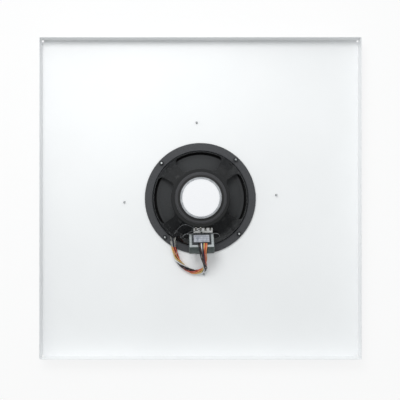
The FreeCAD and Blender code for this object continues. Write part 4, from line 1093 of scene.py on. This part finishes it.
def area_lamp(name, spot, aim, size, power):
    lamp = bpy.data.lights.new(name, "AREA")
    lamp.shape = "SQUARE"
    lamp.size = size
    lamp.energy = power
    obj = bpy.data.objects.new(name, lamp)
    obj.location = spot
    obj.rotation_euler = (Vector(aim) - Vector(spot)).to_track_quat("-Z", "Y").to_euler()
    scene.collection.objects.link(obj)


def soft_dome(toward, darkest, brightest):
    """World light that grows from a low level to a high one towards a side"""
    scene.world = bpy.data.worlds.new("studio")
    scene.world.use_nodes = True
    sky = Nodes(scene.world.node_tree)
    sides = {0: sky.add("TexCoord").outputs["Generated"], 1: Vector(toward).normalized()}
    facing = sky.add("VectorMath", sides, operation="DOT_PRODUCT").outputs["Value"]
    levels = {"From Min": -0.42, "From Max": 1.0, "To Min": darkest, "To Max": brightest}
    strength = sky.add("MapRange", {"Value": facing, **levels}).outputs[0]
    dome = sky.tree.nodes["Background"].inputs
    sky.put(dome["Color"], (0.975, 1.0, 1.0, 1.0))
    sky.put(dome["Strength"], strength)


def stage_floor(half, height, glow):
    """Wide white floor that also gives off light of its own where it is seen or mirrored"""
    corners = [(x * half, y * half, height) for x, y in ((-1, -1), (1, -1), (1, 1), (-1, 1))]
    mesh = bpy.data.meshes.new("floor")
    mesh.from_pydata(corners, [], [(0, 1, 2, 3)])
    look = Look("floor_white", roughness=0.9)
    look.paint(look.ramp(look.noise(3.0), (0.3, rgb(238, 239, 239)), (0.7, rgb(242, 242, 242))))
    light = look.add("Emission", {"Strength": 1.0})
    share = look.math("MULTIPLY", look.seen(), glow)
    blend = look.add("MixShader", {0: share, 1: look.shader.outputs[0], 2: light.outputs[0]})
    look.put(look.tree.nodes["Material Output"].inputs["Surface"], blend.outputs[0])
    mesh.materials.append(look.material)
    floor = bpy.data.objects.new("floor", mesh)
    scene.collection.objects.link(floor)


area_lamp("key", spot=(-0.22, 0.58, 1.08), aim=(0.0, 0.05, 0.0), size=0.5, power=5.8)
soft_dome(toward=(-0.20, 0.66, 0.72), darkest=0.16, brightest=0.96)
stage_floor(half=60.0, height=-0.0004, glow=0.82)

camera = bpy.data.objects.new("camera", bpy.data.cameras.new("camera"))
camera.data.sensor_width = 36.0
camera.data.lens = 56.2
camera.data.shift_x = 0.0282
camera.data.shift_y = 0.0212
camera.data.clip_start = 0.01
camera.location = (-0.022, -0.019, 1.20)
camera.rotation_euler = (0.0, 0.0, 0.0)
scene.collection.objects.link(camera)
scene.camera = camera
